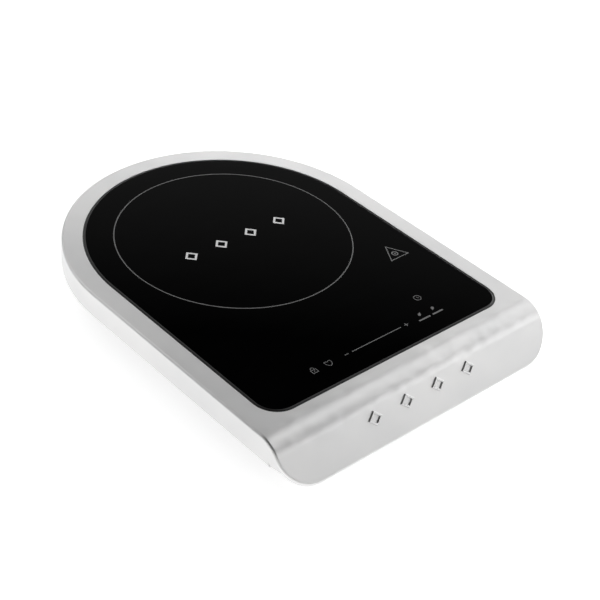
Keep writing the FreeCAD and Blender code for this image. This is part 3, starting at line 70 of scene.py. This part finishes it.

# ---------------------------------------------------------------- places, partly worked out from the frame

GLASS_LOW, GLASS_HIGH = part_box("glass_plate")
HALF = GLASS_HIGH.x
ZONE = Vector((0, GLASS_HIGH.y - HALF, 0))
GLASS_TOP = GLASS_HIGH.z
PRINT_THICK = 0.012 * MM
GLASS_FACE = GLASS_TOP - PRINT_THICK
GLASS_CORNER = 20 * MM
GLASS_IOR = 1.50
METAL_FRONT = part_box("top_housing")[0].y
METAL_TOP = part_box("top_housing")[1].z
ZONE_RADIUS = 103.2 * MM
KEY_ROW = GLASS_LOW.y + 22.4 * MM
KEY_LINE = 0.55 * MM
SLIDER_LINE = 0.75 * MM
DIAMOND_PITCH = 32.6 * MM
WELD_DISTANCE = 1e-6
SHARP_EDGE = math.radians(32)

# The waves in the metal's bend fade in and out over these distances behind its front edge.
BEND_FADE_IN = (12 * MM, 22 * MM)
BEND_FADE_OUT = (36 * MM, 44 * MM)

# A wave texture's bands are this far apart at a scale of 1.
WAVE_SPACING = 0.31

# Where a colour Mix node keeps its factor, its two colours and its result.
MIX_FACTOR, MIX_A, MIX_B, MIX_RESULT = 0, 6, 7, 2


# ---------------------------------------------------------------- material nodes


class Nodes:
    """A short way to write a material's node tree."""

    def __init__(self, name):
        self.material = bpy.data.materials.new(name)
        self.material.use_nodes = True
        self.tree = self.material.node_tree
        self.shader = self.tree.nodes["Principled BSDF"]
        self.place = self.add("ShaderNodeTexCoord").outputs["Object"]

    def add(self, kind, inputs=None, **settings):
        made = self.tree.nodes.new(kind)
        for key, value in settings.items():
            setattr(made, key, value)
        for key, value in (inputs or {}).items():
            self.give(made.inputs[key], value)
        return made

    def give(self, socket, value):
        if isinstance(value, bpy.types.NodeSocket):
            self.tree.links.new(value, socket)
        else:
            socket.default_value = value

    def set(self, **values):
        """Values or links for the shader's own sockets."""
        for key, value in values.items():
            self.give(self.shader.inputs[key.replace("_", " ")], value)

    def stretched(self, x=1, y=1, z=1):
        return self.add("ShaderNodeMapping", {"Vector": self.place, "Scale": (x, y, z)}).outputs[0]

    def noise(self, size, detail=2.0, roughness=0.5, place=None):
        """Noise whose lumps are about size metres across."""
        scale = {"Vector": place or self.place, "Scale": 1 / size, "Detail": detail, "Roughness": roughness}
        return self.add("ShaderNodeTexNoise", scale).outputs["Fac"]

    def ramp(self, factor, low, high, start=0.0, end=1.0):
        """Maps factor from start..end to low..high, for numbers."""
        mapped = {"Value": factor, "From Min": start, "From Max": end, "To Min": low, "To Max": high}
        return self.add("ShaderNodeMapRange", mapped).outputs[0]

    def mix(self, factor, a, b):
        made = self.add("ShaderNodeMix", data_type="RGBA")
        self.give(made.inputs[MIX_FACTOR], factor)
        self.give(made.inputs[MIX_A], a)
        self.give(made.inputs[MIX_B], b)
        return made.outputs[MIX_RESULT]

    def maths(self, kind, a, b):
        made = self.add("ShaderNodeMath", operation=kind)
        self.give(made.inputs[0], a)
        self.give(made.inputs[1], b)
        return made.outputs[0]

    def edge_wear(self, radius=0.7 * MM):
        """One on worn outer edges and zero elsewhere, from how a bevel would turn the normal."""
        bent = self.add("ShaderNodeBevel", {"Radius": radius}, samples=4).outputs[0]
        flat = self.add("ShaderNodeNewGeometry").outputs["Normal"]
        dot = self.add("ShaderNodeVectorMath", operation="DOT_PRODUCT")
        self.give(dot.inputs[0], bent)
        self.give(dot.inputs[1], flat)
        return self.ramp(dot.outputs["Value"], 1.0, 0.0, 0.86, 0.995)

    def bump(self, *layers):
        """Stacked bumps, each (height, depth in metres)."""
        normal = None
        for height, depth in layers:
            made = self.add("ShaderNodeBump", {"Height": height, "Distance": depth})
            if normal is not None:
                self.give(made.inputs["Normal"], normal)
            normal = made.outputs[0]
        self.give(self.shader.inputs["Normal"], normal)
        return self.material


def grey(value, warm=0.0):
    return (value * (1 + warm), value, value * (1 - warm), 1)


def satin_metal():
    """Die-cast body under a satin metallic coat: slight unevenness, fine grain and faintly polished edges."""
    n = Nodes("satin_metal")
    grain = n.noise(0.35 * MM, 3, 0.65)
    cloud = n.noise(60 * MM, 2)
    wear = n.edge_wear()
    tone = n.mix(n.ramp(cloud, 0, 1, 0.35, 0.65), grey(0.76), grey(0.80, 0.004))
    n.set(Base_Color=n.mix(n.maths("MULTIPLY", wear, 0.5), tone, grey(0.88)), Metallic=1.0)
    uneven = n.maths("ADD", n.ramp(grain, -0.04, 0.04), n.ramp(cloud, -0.02, 0.02))
    rough = n.ramp(uneven, 0.36, 0.46, -0.06, 0.06)
    n.set(Roughness=n.maths("SUBTRACT", rough, n.maths("MULTIPLY", wear, 0.08)))
    back = n.add("ShaderNodeSeparateXYZ", {"Vector": n.place}).outputs["Y"]
    rising = n.ramp(back, 0, 1, METAL_FRONT + BEND_FADE_IN[0], METAL_FRONT + BEND_FADE_IN[1])
    falling = n.ramp(back, 1, 0, METAL_FRONT + BEND_FADE_OUT[0], METAL_FRONT + BEND_FADE_OUT[1])
    bend = n.maths("MULTIPLY", rising, falling)
    lumps = n.maths("SUBTRACT", n.noise(17 * MM, 1.0, 0.4, n.stretched(1, 1.5, 1)), 0.5)
    waves = n.maths("MULTIPLY", lumps, bend)
    return n.bump((waves, 0.65 * MM), (n.noise(22 * MM, 1), 0.12 * MM), (grain, 0.006 * MM))


def polished_trim():
    n = Nodes("polished_trim")
    lines = n.noise(0.25 * MM, 2, 0.5, n.stretched(1, 12, 12))
    n.set(Base_Color=n.mix(n.edge_wear(0.3 * MM), grey(0.68), grey(0.90)), Metallic=1.0)
    n.set(Roughness=n.ramp(lines, 0.30, 0.42))
    return n.bump((lines, 0.002 * MM))


def black_glass():
    """Opaque glass-ceramic: nearly black, polished, with very slight waviness and faint wipe marks."""
    n = Nodes("black_glass")
    smear = n.noise(45 * MM, 4, 0.6, n.stretched(1, 2.2, 1))
    n.set(Base_Color=n.mix(smear, grey(0.0008), grey(0.0016, -0.06)), IOR=GLASS_IOR)
    n.set(Roughness=n.ramp(smear, 0.025, 0.055, 0.35, 0.7))
    return n.bump((n.noise(35 * MM, 1), 0.02 * MM))


def ground_glass():
    """The frosted edge of the plate, left by the grinding wheel."""
    n = Nodes("ground_glass")
    frost = n.noise(0.3 * MM, 3)
    n.set(Base_Color=n.mix(frost, grey(0.008), grey(0.015)), IOR=GLASS_IOR)
    n.set(Roughness=n.ramp(frost, 0.38, 0.5))
    return n.bump((frost, 0.01 * MM))


def print_ink(name, value, metallic=0.0):
    """Fired print on the glass: grey enamel, or a silver lustre when metallic."""
    n = Nodes(name)
    mottle = n.noise(0.5 * MM, 2)
    n.set(Base_Color=n.mix(mottle, grey(value * 0.86), grey(value * 1.08)), Metallic=metallic)
    n.set(Roughness=n.ramp(mottle, 0.42, 0.6))
    return n.bump((mottle, 0.004 * MM))


def silicone():
    n = Nodes("black_silicone")
    grain = n.noise(0.8 * MM, 3)
    n.set(Base_Color=n.mix(grain, grey(0.022), grey(0.038)), Roughness=n.ramp(grain, 0.45, 0.62))
    return n.bump((grain, 0.02 * MM))


def rubber():
    n = Nodes("foot_rubber")
    grain = n.noise(0.5 * MM, 4, 0.7)
    dust = n.noise(6 * MM, 3)
    n.set(Base_Color=n.mix(n.ramp(dust, 0, 0.5, 0.5, 0.8), grey(0.02), grey(0.07, 0.03)))
    n.set(Roughness=n.ramp(grain, 0.7, 0.9))
    return n.bump((grain, 0.03 * MM))


def plastic(name, color, rough=0.5, texture=0.35 * MM, depth=0.02 * MM):
    """Moulded plastic with a spark-eroded grain and slightly rubbed edges."""
    n = Nodes(name)
    grain = n.noise(texture, 3, 0.6)
    flow = n.noise(25 * MM, 2)
    light = tuple(min(1, c * 1.35 + 0.01) for c in color[:3]) + (1,)
    base = n.mix(n.ramp(flow, 0, 0.35, 0.4, 0.7), color, light)
    n.set(Base_Color=n.mix(n.maths("MULTIPLY", n.edge_wear(0.4 * MM), 0.5), base, light))
    n.set(Roughness=n.ramp(grain, rough - 0.08, rough + 0.1))
    return n.bump((grain, depth))


def metal(name, color, rough, stretch=(1, 1, 1), depth=0.008 * MM):
    """Bare or plated metal; stretch draws the grain out into brushing or drawing lines."""
    n = Nodes(name)
    lines = n.noise(0.4 * MM, 3, 0.6, n.stretched(*stretch))
    stain = n.noise(9 * MM, 3)
    dark = tuple(c * 0.72 for c in color[:3]) + (1,)
    light = tuple(min(1, c * 1.15) for c in color[:3]) + (1,)
    base = n.mix(n.ramp(stain, 0, 0.6, 0.45, 0.75), color, dark)
    n.set(Base_Color=n.mix(n.edge_wear(0.3 * MM), base, light), Metallic=1.0)
    n.set(Roughness=n.ramp(lines, rough - 0.07, rough + 0.1))
    return n.bump((lines, depth))


def wound(name, color, pitch=0.7 * MM):
    """Twisted strands: fine diagonal ridges over a coloured, enamelled surface, with painted shade darkening
    the grooves between them.
    """
    n = Nodes(name)
    inputs = {"Vector": n.place, "Scale": WAVE_SPACING / pitch, "Distortion": 1.2}
    wave = n.add("ShaderNodeTexWave", inputs, bands_direction="DIAGONAL")
    strands = wave.outputs["Fac"]
    # dark is painted shade: the grooves between strands, where the wave is low, are coloured darker.
    dark = tuple(c * 0.45 for c in color[:3]) + (1,)
    n.set(Base_Color=n.mix(strands, dark, color), Metallic=0.7, Roughness=n.ramp(strands, 0.45, 0.28))
    return n.bump((strands, 0.12 * MM))


def board_mask():
    """Solder mask with faint tracks under it."""
    n = Nodes("board_mask")
    inputs = {"Vector": n.place, "Scale": 120.0, "Mortar Size": 0.03}
    tracks = n.add("ShaderNodeTexBrick", inputs, offset=0.37).outputs["Fac"]
    cloud = n.noise(5 * MM, 2)
    base = n.mix(n.ramp(cloud, 0, 0.5), (0.012, 0.11, 0.035, 1), (0.02, 0.17, 0.06, 1))
    n.set(Base_Color=n.mix(tracks, base, (0.03, 0.24, 0.09, 1)), Roughness=n.ramp(cloud, 0.28, 0.4))
    return n.bump((tracks, 0.03 * MM))


def clear_glass():
    n = Nodes("fuse_glass")
    swirl = n.noise(3 * MM, 2)
    n.set(Base_Color=n.mix(swirl, (0.80, 0.84, 0.82, 1), (0.9, 0.92, 0.9, 1)))
    n.set(Roughness=n.ramp(swirl, 0.05, 0.12), Transmission_Weight=0.6)
    return n.bump((swirl, 0.02 * MM))


# ---------------------------------------------------------------- geometry helpers


def piece(name, mesh, material, body):
    """Links a mesh as a piece of the object that moves with a CAD body."""
    made = bpy.data.objects.new(name, mesh)
    SCENE.collection.objects.link(made)
    mesh.materials.append(material)
    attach(made, body)
    return made


def arc(centre, radius, start, end, steps):
    """Points on a circle between two angles in degrees."""
    angles = [math.radians(start + (end - start) * k / steps) for k in range(steps + 1)]
    return [(centre[0] + radius * math.cos(a), centre[1] + radius * math.sin(a)) for a in angles]


def circle(centre, radius, steps):
    return arc(centre, radius, 0, 360, steps)[:-1]


def glass_outline(inset):
    """The D shape of the glass, moved in by inset, starting at the right end of the round back."""
    half, front, corner = HALF - inset, GLASS_LOW.y + inset, GLASS_CORNER - inset
    points = arc(ZONE, half, 0, 180, 128)
    points += arc((corner - half, front + corner), corner, 180, 270, 16)
    return points + arc((half - corner, front + corner), corner, 270, 360, 16)


def make_glass():
    """The glass plate: stacked copies of its outline, capped above and below.

    The rings from ground_ring upwards are the ground slope round the top, which has the second material.
    """
    ground_ring = 2
    rings = [
        (0.35 * MM, GLASS_LOW.z),
        (0, GLASS_LOW.z + 0.35 * MM),
        (0, GLASS_FACE - 0.62 * MM),
        (0.08 * MM, GLASS_FACE - 0.52 * MM),
        (1.10 * MM, GLASS_FACE - 0.04 * MM),
        (1.25 * MM, GLASS_FACE),
    ]
    bm = bmesh.new()
    loops = [[bm.verts.new((x, y, z)) for x, y in glass_outline(inset)] for inset, z in rings]
    count = len(loops[0])
    for level, (low, high) in enumerate(zip(loops, loops[1:])):
        for k in range(count):
            after = (k + 1) % count
            face = bm.faces.new((low[k], low[after], high[after], high[k]))
            face.smooth = True
            face.material_index = 1 if level >= ground_ring else 0
    bm.faces.new(loops[-1])
    bm.faces.new(list(reversed(loops[0])))
    bmesh.ops.remove_doubles(bm, verts=bm.verts, dist=1e-7)
    bmesh.ops.recalc_face_normals(bm, faces=bm.faces)
    mesh = bpy.data.meshes.new("cooktop_glass")
    bm.to_mesh(mesh)
    bm.free()
    return mesh


def spring_coils(source):
    """A welded, smooth copy of a spring."""
    bm = bmesh.new()
    bm.from_mesh(source)
    bmesh.ops.remove_doubles(bm, verts=bm.verts, dist=WELD_DISTANCE)
    for face in bm.faces:
        face.smooth = True
    mesh = bpy.data.meshes.new("spring_coils")
    bm.to_mesh(mesh)
    bm.free()
    return mesh


def ribbon(bm, points, width, closed):
    """A flat band along a line of points, as a closed slab that stands on the glass."""
    count = len(points)
    sides = []
    for k, (x, y) in enumerate(points):
        before = points[k - 1] if closed or k else points[k]
        after = points[(k + 1) % count] if closed or k < count - 1 else points[k]
        into = Vector((x - before[0], y - before[1])).normalized() if before != (x, y) else None
        out = Vector((after[0] - x, after[1] - y)).normalized() if after != (x, y) else None
        into, out = into or out, out or into
        along = (into + out).normalized()
        mitre = min(1 / max(along.dot(out), 0.2), 3)
        across = Vector((-along.y, along.x)) * (width / 2 * mitre)
        sides.append((Vector((x, y)) + across, Vector((x, y)) - across))
    low, high = GLASS_FACE - 2 * PRINT_THICK, GLASS_TOP
    rows = [[bm.verts.new((*p, z)) for p in pair for z in (low, high)] for pair in sides]
    last = count if closed else count - 1
    for k in range(last):
        a, b = rows[k], rows[(k + 1) % count]
        for i, j in ((1, 3), (3, 2), (2, 0), (0, 1)):
            bm.faces.new((a[i], a[j], b[j], b[i]))
    if not closed:
        for row in (rows[0], rows[-1]):
            bm.faces.new((row[0], row[1], row[3], row[2]))


def patch(bm, points):
    """A filled outline, as a closed slab that stands on the glass."""
    low, high = GLASS_FACE - 2 * PRINT_THICK, GLASS_TOP
    floor = [bm.verts.new((x, y, low)) for x, y in points]
    roof = [bm.verts.new((x, y, high)) for x, y in points]
    bm.faces.new(roof)
    bm.faces.new(list(reversed(floor)))
    for k in range(len(points)):
        after = (k + 1) % len(points)
        bm.faces.new((floor[k], floor[after], roof[after], roof[k]))


def printed(name, draw, material):
    """A printed mark: draw(bm) lays its bands and patches."""
    bm = bmesh.new()
    draw(bm)
    bmesh.ops.recalc_face_normals(bm, faces=bm.faces)
    mesh = bpy.data.meshes.new(name)
    bm.to_mesh(mesh)
    bm.free()
    piece(name, mesh, material, "chassis")


def moved(points, x, y):
    """Points in millimetres about a mark's middle, moved to its place in metres."""
    return [(x + px * MM, y + py * MM) for px, py in points]


# ---------------------------------------------------------------- the printed marks


def draw_zone(bm):
    ribbon(bm, circle(ZONE, ZONE_RADIUS, 256), 0.95 * MM, True)


def draw_centre_diamonds(bm):
    """A row of hollow diamonds at the middle of the zone."""
    for k in (-1.5, -0.5, 0.5, 1.5):
        x, y = k * DIAMOND_PITCH, ZONE.y - 2.5 * MM
        ribbon(bm, moved([(5.4, 0), (0, 5.6), (-5.4, 0), (0, -5.6)], x, y), 1.9 * MM, True)


def draw_lock(bm):
    x, y = -66.5 * MM, KEY_ROW
    ribbon(bm, moved([(-2.6, -2.6), (2.6, -2.6), (2.6, 1.0), (-2.6, 1.0)], x, y), KEY_LINE, True)
    shackle = [(-1.6, 1.0), (-1.6, 2.0)] + arc((0, 2.0), 1.6, 180, 0, 10)[1:-1] + [(1.6, 2.0), (1.6, 1.0)]
    ribbon(bm, moved(shackle, x, y), KEY_LINE, False)
    patch(bm, moved([(-0.4, -1.4), (0.4, -1.4), (0.4, -0.1), (-0.4, -0.1)], x, y))


def draw_hold(bm):
    """A rounded shield-like outline for the hold key."""
    x, y = -50.9 * MM, KEY_ROW
    top = [(-3, 2.6), (-1.2, 2.6), (0, 1.8), (1.2, 2.6), (3, 2.6)]
    foot = [(3, 0), (1.8, -2), (0, -3.2), (-1.8, -2), (-3, 0)]
    ribbon(bm, moved(top + foot, x, y), KEY_LINE, True)


def draw_slider(bm):
    """The slider's line, with a minus at its left end and a plus at its right end."""
    ribbon(bm, [(-26.1 * MM, KEY_ROW), (28.3 * MM, KEY_ROW)], SLIDER_LINE, False)
    ribbon(bm, moved([(-2, 0), (2, 0)], -31.8 * MM, KEY_ROW), SLIDER_LINE, False)
    ribbon(bm, moved([(-2, 0), (2, 0)], 34.3 * MM, KEY_ROW), 0.7 * MM, False)
    for way in (-1, 1):
        ribbon(bm, moved([(0, 0.36 * way), (0, 2 * way)], 34.3 * MM, KEY_ROW), 0.7 * MM, False)


def draw_boost(bm):
    """Two level keys, each a slanting drop over a plain bar: one drop stands up, the other hangs down."""
    slant = Matrix.Rotation(math.radians(-42), 2)
    for x, way, half in ((53.2, 1, 6.4), (68.4, -1, 5.8)):
        outline = [(0, 3.0), (1.4, 0), (0.9, -1.8), (-0.9, -1.8), (-1.4, 0)]
        drop = [tuple(slant @ Vector(point) * way) for point in outline]
        patch(bm, moved(drop, x * MM, KEY_ROW + 3.4 * MM))
        bar = [(-half, -0.8), (half, -0.8), (half, 0.8), (-half, 0.8)]
        patch(bm, moved(bar, x * MM, KEY_ROW - 2.9 * MM))


def draw_timer(bm):
    x, y = 68.4 * MM, KEY_ROW + 20.6 * MM
    ribbon(bm, circle((x, y), 3.1 * MM, 40), 0.6 * MM, True)
    ribbon(bm, moved([(0, 1.8), (0, 0), (1.3, -0.6)], x, y), 0.5 * MM, False)


def draw_triangle(bm):
    """A plain triangle with a small disc in it."""
    x, y = 99.0 * MM, ZONE.y - 98.4 * MM
    ribbon(bm, moved([(-10.2, -6.4), (10.4, -6.0), (0.2, 11.8)], x, y), 0.9 * MM, True)
    ribbon(bm, circle((x, y), 2.6 * MM, 32), 1.1 * MM, True)
    patch(bm, circle((x, y), 0.9 * MM, 24))


# ---------------------------------------------------------------- assembling the looks

BODY_METAL = satin_metal()
GLASS = black_glass()
INK = print_ink("key_print", 0.17)
RING_INK = print_ink("zone_print", 0.15)
BRIGHT_INK = print_ink("centre_print", 0.74, 1.0)
BLACK_PLASTIC = plastic("black_plastic", grey(0.018), 0.55)
GREY_PLASTIC = plastic("grey_plastic", grey(0.16), 0.5)
WHITE_PLASTIC = plastic("white_plastic", grey(0.72, 0.01), 0.42, depth=0.008 * MM)
DEVICE_PLASTIC = plastic("device_package", grey(0.014), 0.38, texture=0.2 * MM, depth=0.008 * MM)
CAPACITOR = plastic("capacitor_case", (0.62, 0.24, 0.02, 1), 0.3, texture=1.5 * MM, depth=0.01 * MM)
ZINC = metal("zinc_steel", grey(0.62, 0.01), 0.28)
SPRING = metal("spring_steel", grey(0.35), 0.32, (1, 1, 6))
ALUMINIUM = metal("extruded_aluminium", grey(0.74), 0.34, (0.08, 1, 1))
SHEET_METAL = metal("sheet_aluminium", grey(0.78), 0.26, (1, 0.08, 1))
FOIL = metal("label_foil", grey(0.60), 0.4, (0.05, 1, 1), depth=0.003 * MM)
BRASS = metal("turned_brass", (0.72, 0.50, 0.19, 1), 0.25)
FERRITE = plastic("ferrite", grey(0.022), 0.62, texture=0.6 * MM, depth=0.03 * MM)
COPPER = wound("litz_copper", (0.62, 0.25, 0.11, 1))
COPPER_WIRE = wound("enamel_wire", (0.68, 0.30, 0.12, 1), 0.4 * MM)
SLEEVE = plastic("wire_sleeve", (0.03, 0.07, 0.28, 1), 0.4, texture=1 * MM, depth=0.01 * MM)
EARTH_SLEEVE = plastic("earth_sleeve", (0.10, 0.33, 0.04, 1), 0.4, texture=1 * MM, depth=0.01 * MM)
MICA = plastic("mica_sheet", (0.58, 0.54, 0.44, 1), 0.55, texture=2 * MM, depth=0.02 * MM)
FOAM = plastic("contact_foam", grey(0.03), 0.8, texture=0.5 * MM, depth=0.08 * MM)
BOARD = board_mask()
RUBBER = rubber()
SEAL = silicone()

LOOKS = {
    BODY_METAL: ["top_housing"],
    polished_trim(): ["front_emblem"],
    GLASS: ["glass_plate"],
    SEAL: ["glass_seal", "sensor_cap"],
    RUBBER: ["foot_front_left", "foot_front_right", "foot_rear_left", "foot_rear_right"],
    BLACK_PLASTIC: ["base_tub", "cord_gland", "gland_clip", "fan_frame", "fan_rotor"],
    ZINC: [
        "base_screws", "control_screws", "floor_screws", "device_screws", "fan_screws", "coil_mount_screws",
        "earth_screw",
    ],
    SPRING: ["coil_spring_rear", "coil_spring_left", "coil_spring_front"],
    FOIL: ["rating_plate"],
    GREY_PLASTIC: ["control_bracket", "coil_carrier"],
    BOARD: ["power_board", "control_board"],
    ALUMINIUM: ["heat_sink"],
    SHEET_METAL: ["heat_shield"],
    DEVICE_PLASTIC: ["power_transistor", "bridge_rectifier", "buzzer", "smoothing_capacitor"],
    CAPACITOR: ["dc_link_capacitor", "resonant_capacitor", "suppression_capacitor"],
    FERRITE: ["ferrite_bars", "choke_core", "aux_transformer"],
    COPPER: ["coil_winding", "coil_leads"],
    COPPER_WIRE: ["choke_winding", "fan_stator"],
    BRASS: ["coil_terminals", "fan_bearing"],
    WHITE_PLASTIC: ["board_connectors", "mains_terminals", "indicator_leds"],
    clear_glass(): ["fuse"],
    SLEEVE: ["mains_leads", "fan_lead", "ribbon_cable"],
    EARTH_SLEEVE: ["earth_lead"],
    FOAM: ["touch_electrodes"],
    MICA: ["insulation_sheet"],
    plastic("glass_bead", (0.22, 0.05, 0.02, 1), 0.2): ["thermistor"],
}
for material, names in LOOKS.items():
    for name in names:
        for slot in NODES[name].material_slots:
            slot.material = material

for node in NODES.values():
    weld = node.modifiers.new("weld", "WELD")
    weld.merge_threshold = WELD_DISTANCE
    split = node.modifiers.new("split", "EDGE_SPLIT")
    split.split_angle = SHARP_EDGE
    smooth = node.modifiers.new("smooth", "WEIGHTED_NORMAL")
    smooth.weight = 100

for place in ("rear", "left", "front"):
    node = NODES["coil_spring_" + place]
    spring = piece("pressed_spring_" + place, spring_coils(node.data), SPRING, "chassis")
    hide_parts(node.name)
    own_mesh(spring)

glass = piece("cooktop_glass", make_glass(), GLASS, "chassis")
glass.data.materials.append(ground_glass())
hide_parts("glass_plate")
printed("zone_ring", draw_zone, RING_INK)
printed("centre_diamonds", draw_centre_diamonds, BRIGHT_INK)
for name, draw in (
    ("lock_mark", draw_lock),
    ("hold_mark", draw_hold),
    ("slider_mark", draw_slider),
    ("boost_marks", draw_boost),
    ("timer_mark", draw_timer),
    ("triangle_mark", draw_triangle),
):
    printed(name, draw, INK)


# ---------------------------------------------------------------- the studio: floor, lights, world and camera

FLOOR_HALF = 20
FLOOR_GAP = 0.05 * MM
FLOOR_GLOW = 0.78
WALL_GLOW = 1.25
LIGHT_DISTANCE = 3.0

# The wall's brightness at each height, given as the sine of the angle above the horizon.
WALL_BAND = ((0.23, 0.0), (0.28, 1.0), (0.41, 1.0), (0.47, 0.11), (0.61, 0.0))

# Angles in degrees, the lens in millimetres, and the stand from the zone's middle at the metal's top.
CAMERA_AZIMUTH, CAMERA_ELEVATION, CAMERA_ROLL = -45.44, 36.06, 6.31
CAMERA_LENS = 84.2
CAMERA_STAND = Vector((-0.6748, -0.7522, 0.6752))

# Four levels of light, from the long boxes on the right down to the small strips high up.
STRONG_LEVEL, FILL_LEVEL, SOFT_LEVEL, FAINT_LEVEL = 2.5, 1.6, 1.0, 0.65


def make_floor():
    bm = bmesh.new()
    bmesh.ops.create_grid(bm, x_segments=1, y_segments=1, size=FLOOR_HALF)
    mesh = bpy.data.meshes.new("floor")
    bm.to_mesh(mesh)
    bm.free()
    floor = bpy.data.objects.new("floor", mesh)
    floor.location.z = CAD_LOW.z - FLOOR_GAP
    SCENE.collection.objects.link(floor)
    n = Nodes("floor_paper")
    fibre = n.noise(2 * MM, 3)
    n.set(Base_Color=n.mix(fibre, grey(0.93), grey(0.95)), Roughness=0.9, Specular_IOR_Level=0.1)
    n.set(Emission_Color=(1, 1, 1, 1), Emission_Strength=FLOOR_GLOW)
    mesh.materials.append(n.material)


def softbox(name, azimuth, elevation, size, radiance):
    """A rectangular area light aimed at the object. Azimuth 0 is in front, 90 to the right."""
    light = bpy.data.lights.new(name, "AREA")
    light.shape = "RECTANGLE"
    light.size, light.size_y = size
    light.energy = math.pi * radiance * size[0] * size[1]
    made = bpy.data.objects.new(name, light)
    SCENE.collection.objects.link(made)
    a, e = math.radians(azimuth), math.radians(elevation)
    away = Vector((math.sin(a) * math.cos(e), -math.cos(a) * math.cos(e), math.sin(e)))
    made.location = away * LIGHT_DISTANCE
    made.rotation_euler = away.to_track_quat("Z", "Y").to_euler()


def make_world():
    """A lit wall round a dark room: a pale band above the horizon, and white past the floor's edge."""
    world = bpy.data.worlds.new("studio")
    world.use_nodes = True
    SCENE.world = world
    tree = world.node_tree
    background = tree.nodes["Background"]
    place = tree.nodes.new("ShaderNodeTexCoord")
    split = tree.nodes.new("ShaderNodeSeparateXYZ")
    tree.links.new(place.outputs["Generated"], split.inputs[0])
    band = tree.nodes.new("ShaderNodeValToRGB")
    stops = band.color_ramp.elements
    for height, level in WALL_BAND:
        stop = stops.new(height)
        stop.color = grey(level)
    stops.remove(stops[-1])
    stops.remove(stops[0])
    tree.links.new(split.outputs["Z"], band.inputs["Fac"])
    seen = tree.nodes.new("ShaderNodeLightPath")
    pick = tree.nodes.new("ShaderNodeMix")
    pick.data_type = "RGBA"
    pick.inputs[MIX_B].default_value = grey(1.0)
    tree.links.new(seen.outputs["Is Camera Ray"], pick.inputs[MIX_FACTOR])
    tree.links.new(band.outputs[0], pick.inputs[MIX_A])
    tree.links.new(pick.outputs[MIX_RESULT], background.inputs["Color"])
    background.inputs["Strength"].default_value = WALL_GLOW


def make_camera():
    """The view from the front left, above, with the horizon tipped a little."""
    azimuth, elevation, roll = map(math.radians, (CAMERA_AZIMUTH, CAMERA_ELEVATION, CAMERA_ROLL))
    level = math.cos(elevation)
    back = Vector((math.sin(azimuth) * level, -math.cos(azimuth) * level, math.sin(elevation)))
    right = Vector((0, 0, 1)).cross(back).normalized()
    up = back.cross(right)
    across = right * math.cos(roll) + up * math.sin(roll)
    over = up * math.cos(roll) - right * math.sin(roll)
    camera = bpy.data.objects.new("camera", bpy.data.cameras.new("camera"))
    SCENE.collection.objects.link(camera)
    camera.data.sensor_width = 36
    camera.data.lens = CAMERA_LENS
    turn = Matrix((across, over, back)).transposed()
    zone_top = Vector((ZONE.x, ZONE.y, METAL_TOP))
    camera.matrix_world = Matrix.Translation(zone_top + CAMERA_STAND) @ turn.to_4x4()
    SCENE.camera = camera


make_floor()
make_world()
for name, azimuth, elevation, size, radiance in (
    ("right_light", 88, 20, (2.4, 1.1), STRONG_LEVEL),
    ("rear_light", 134, 19, (2.5, 0.75), STRONG_LEVEL),
    ("front_light", 45, 22, (1.2, 1.2), SOFT_LEVEL),
    ("left_light", -166, 48, (1.8, 1.2), FILL_LEVEL),
    ("high_light", 60, 68, (1.8, 1.2), SOFT_LEVEL),
    ("strip_light_right", 86, 57, (0.5, 0.4), FAINT_LEVEL),
    ("strip_light_rear", 98, 57, (0.5, 0.4), FAINT_LEVEL),
    ("strip_light_top", 90, 66, (0.7, 0.4), FAINT_LEVEL),
    ("fill_light_front", 60, 44, (0.8, 0.6), FILL_LEVEL),
    ("fill_light_right", 80, 44, (0.6, 0.5), FILL_LEVEL),
    ("fill_light_rear", 95, 44, (0.6, 0.5), FILL_LEVEL),
    ("fill_light_back", 115, 50, (0.9, 0.6), SOFT_LEVEL),
):
    softbox(name, azimuth, elevation, size, radiance)
make_camera()
SCENE.view_settings.view_transform = "Standard"
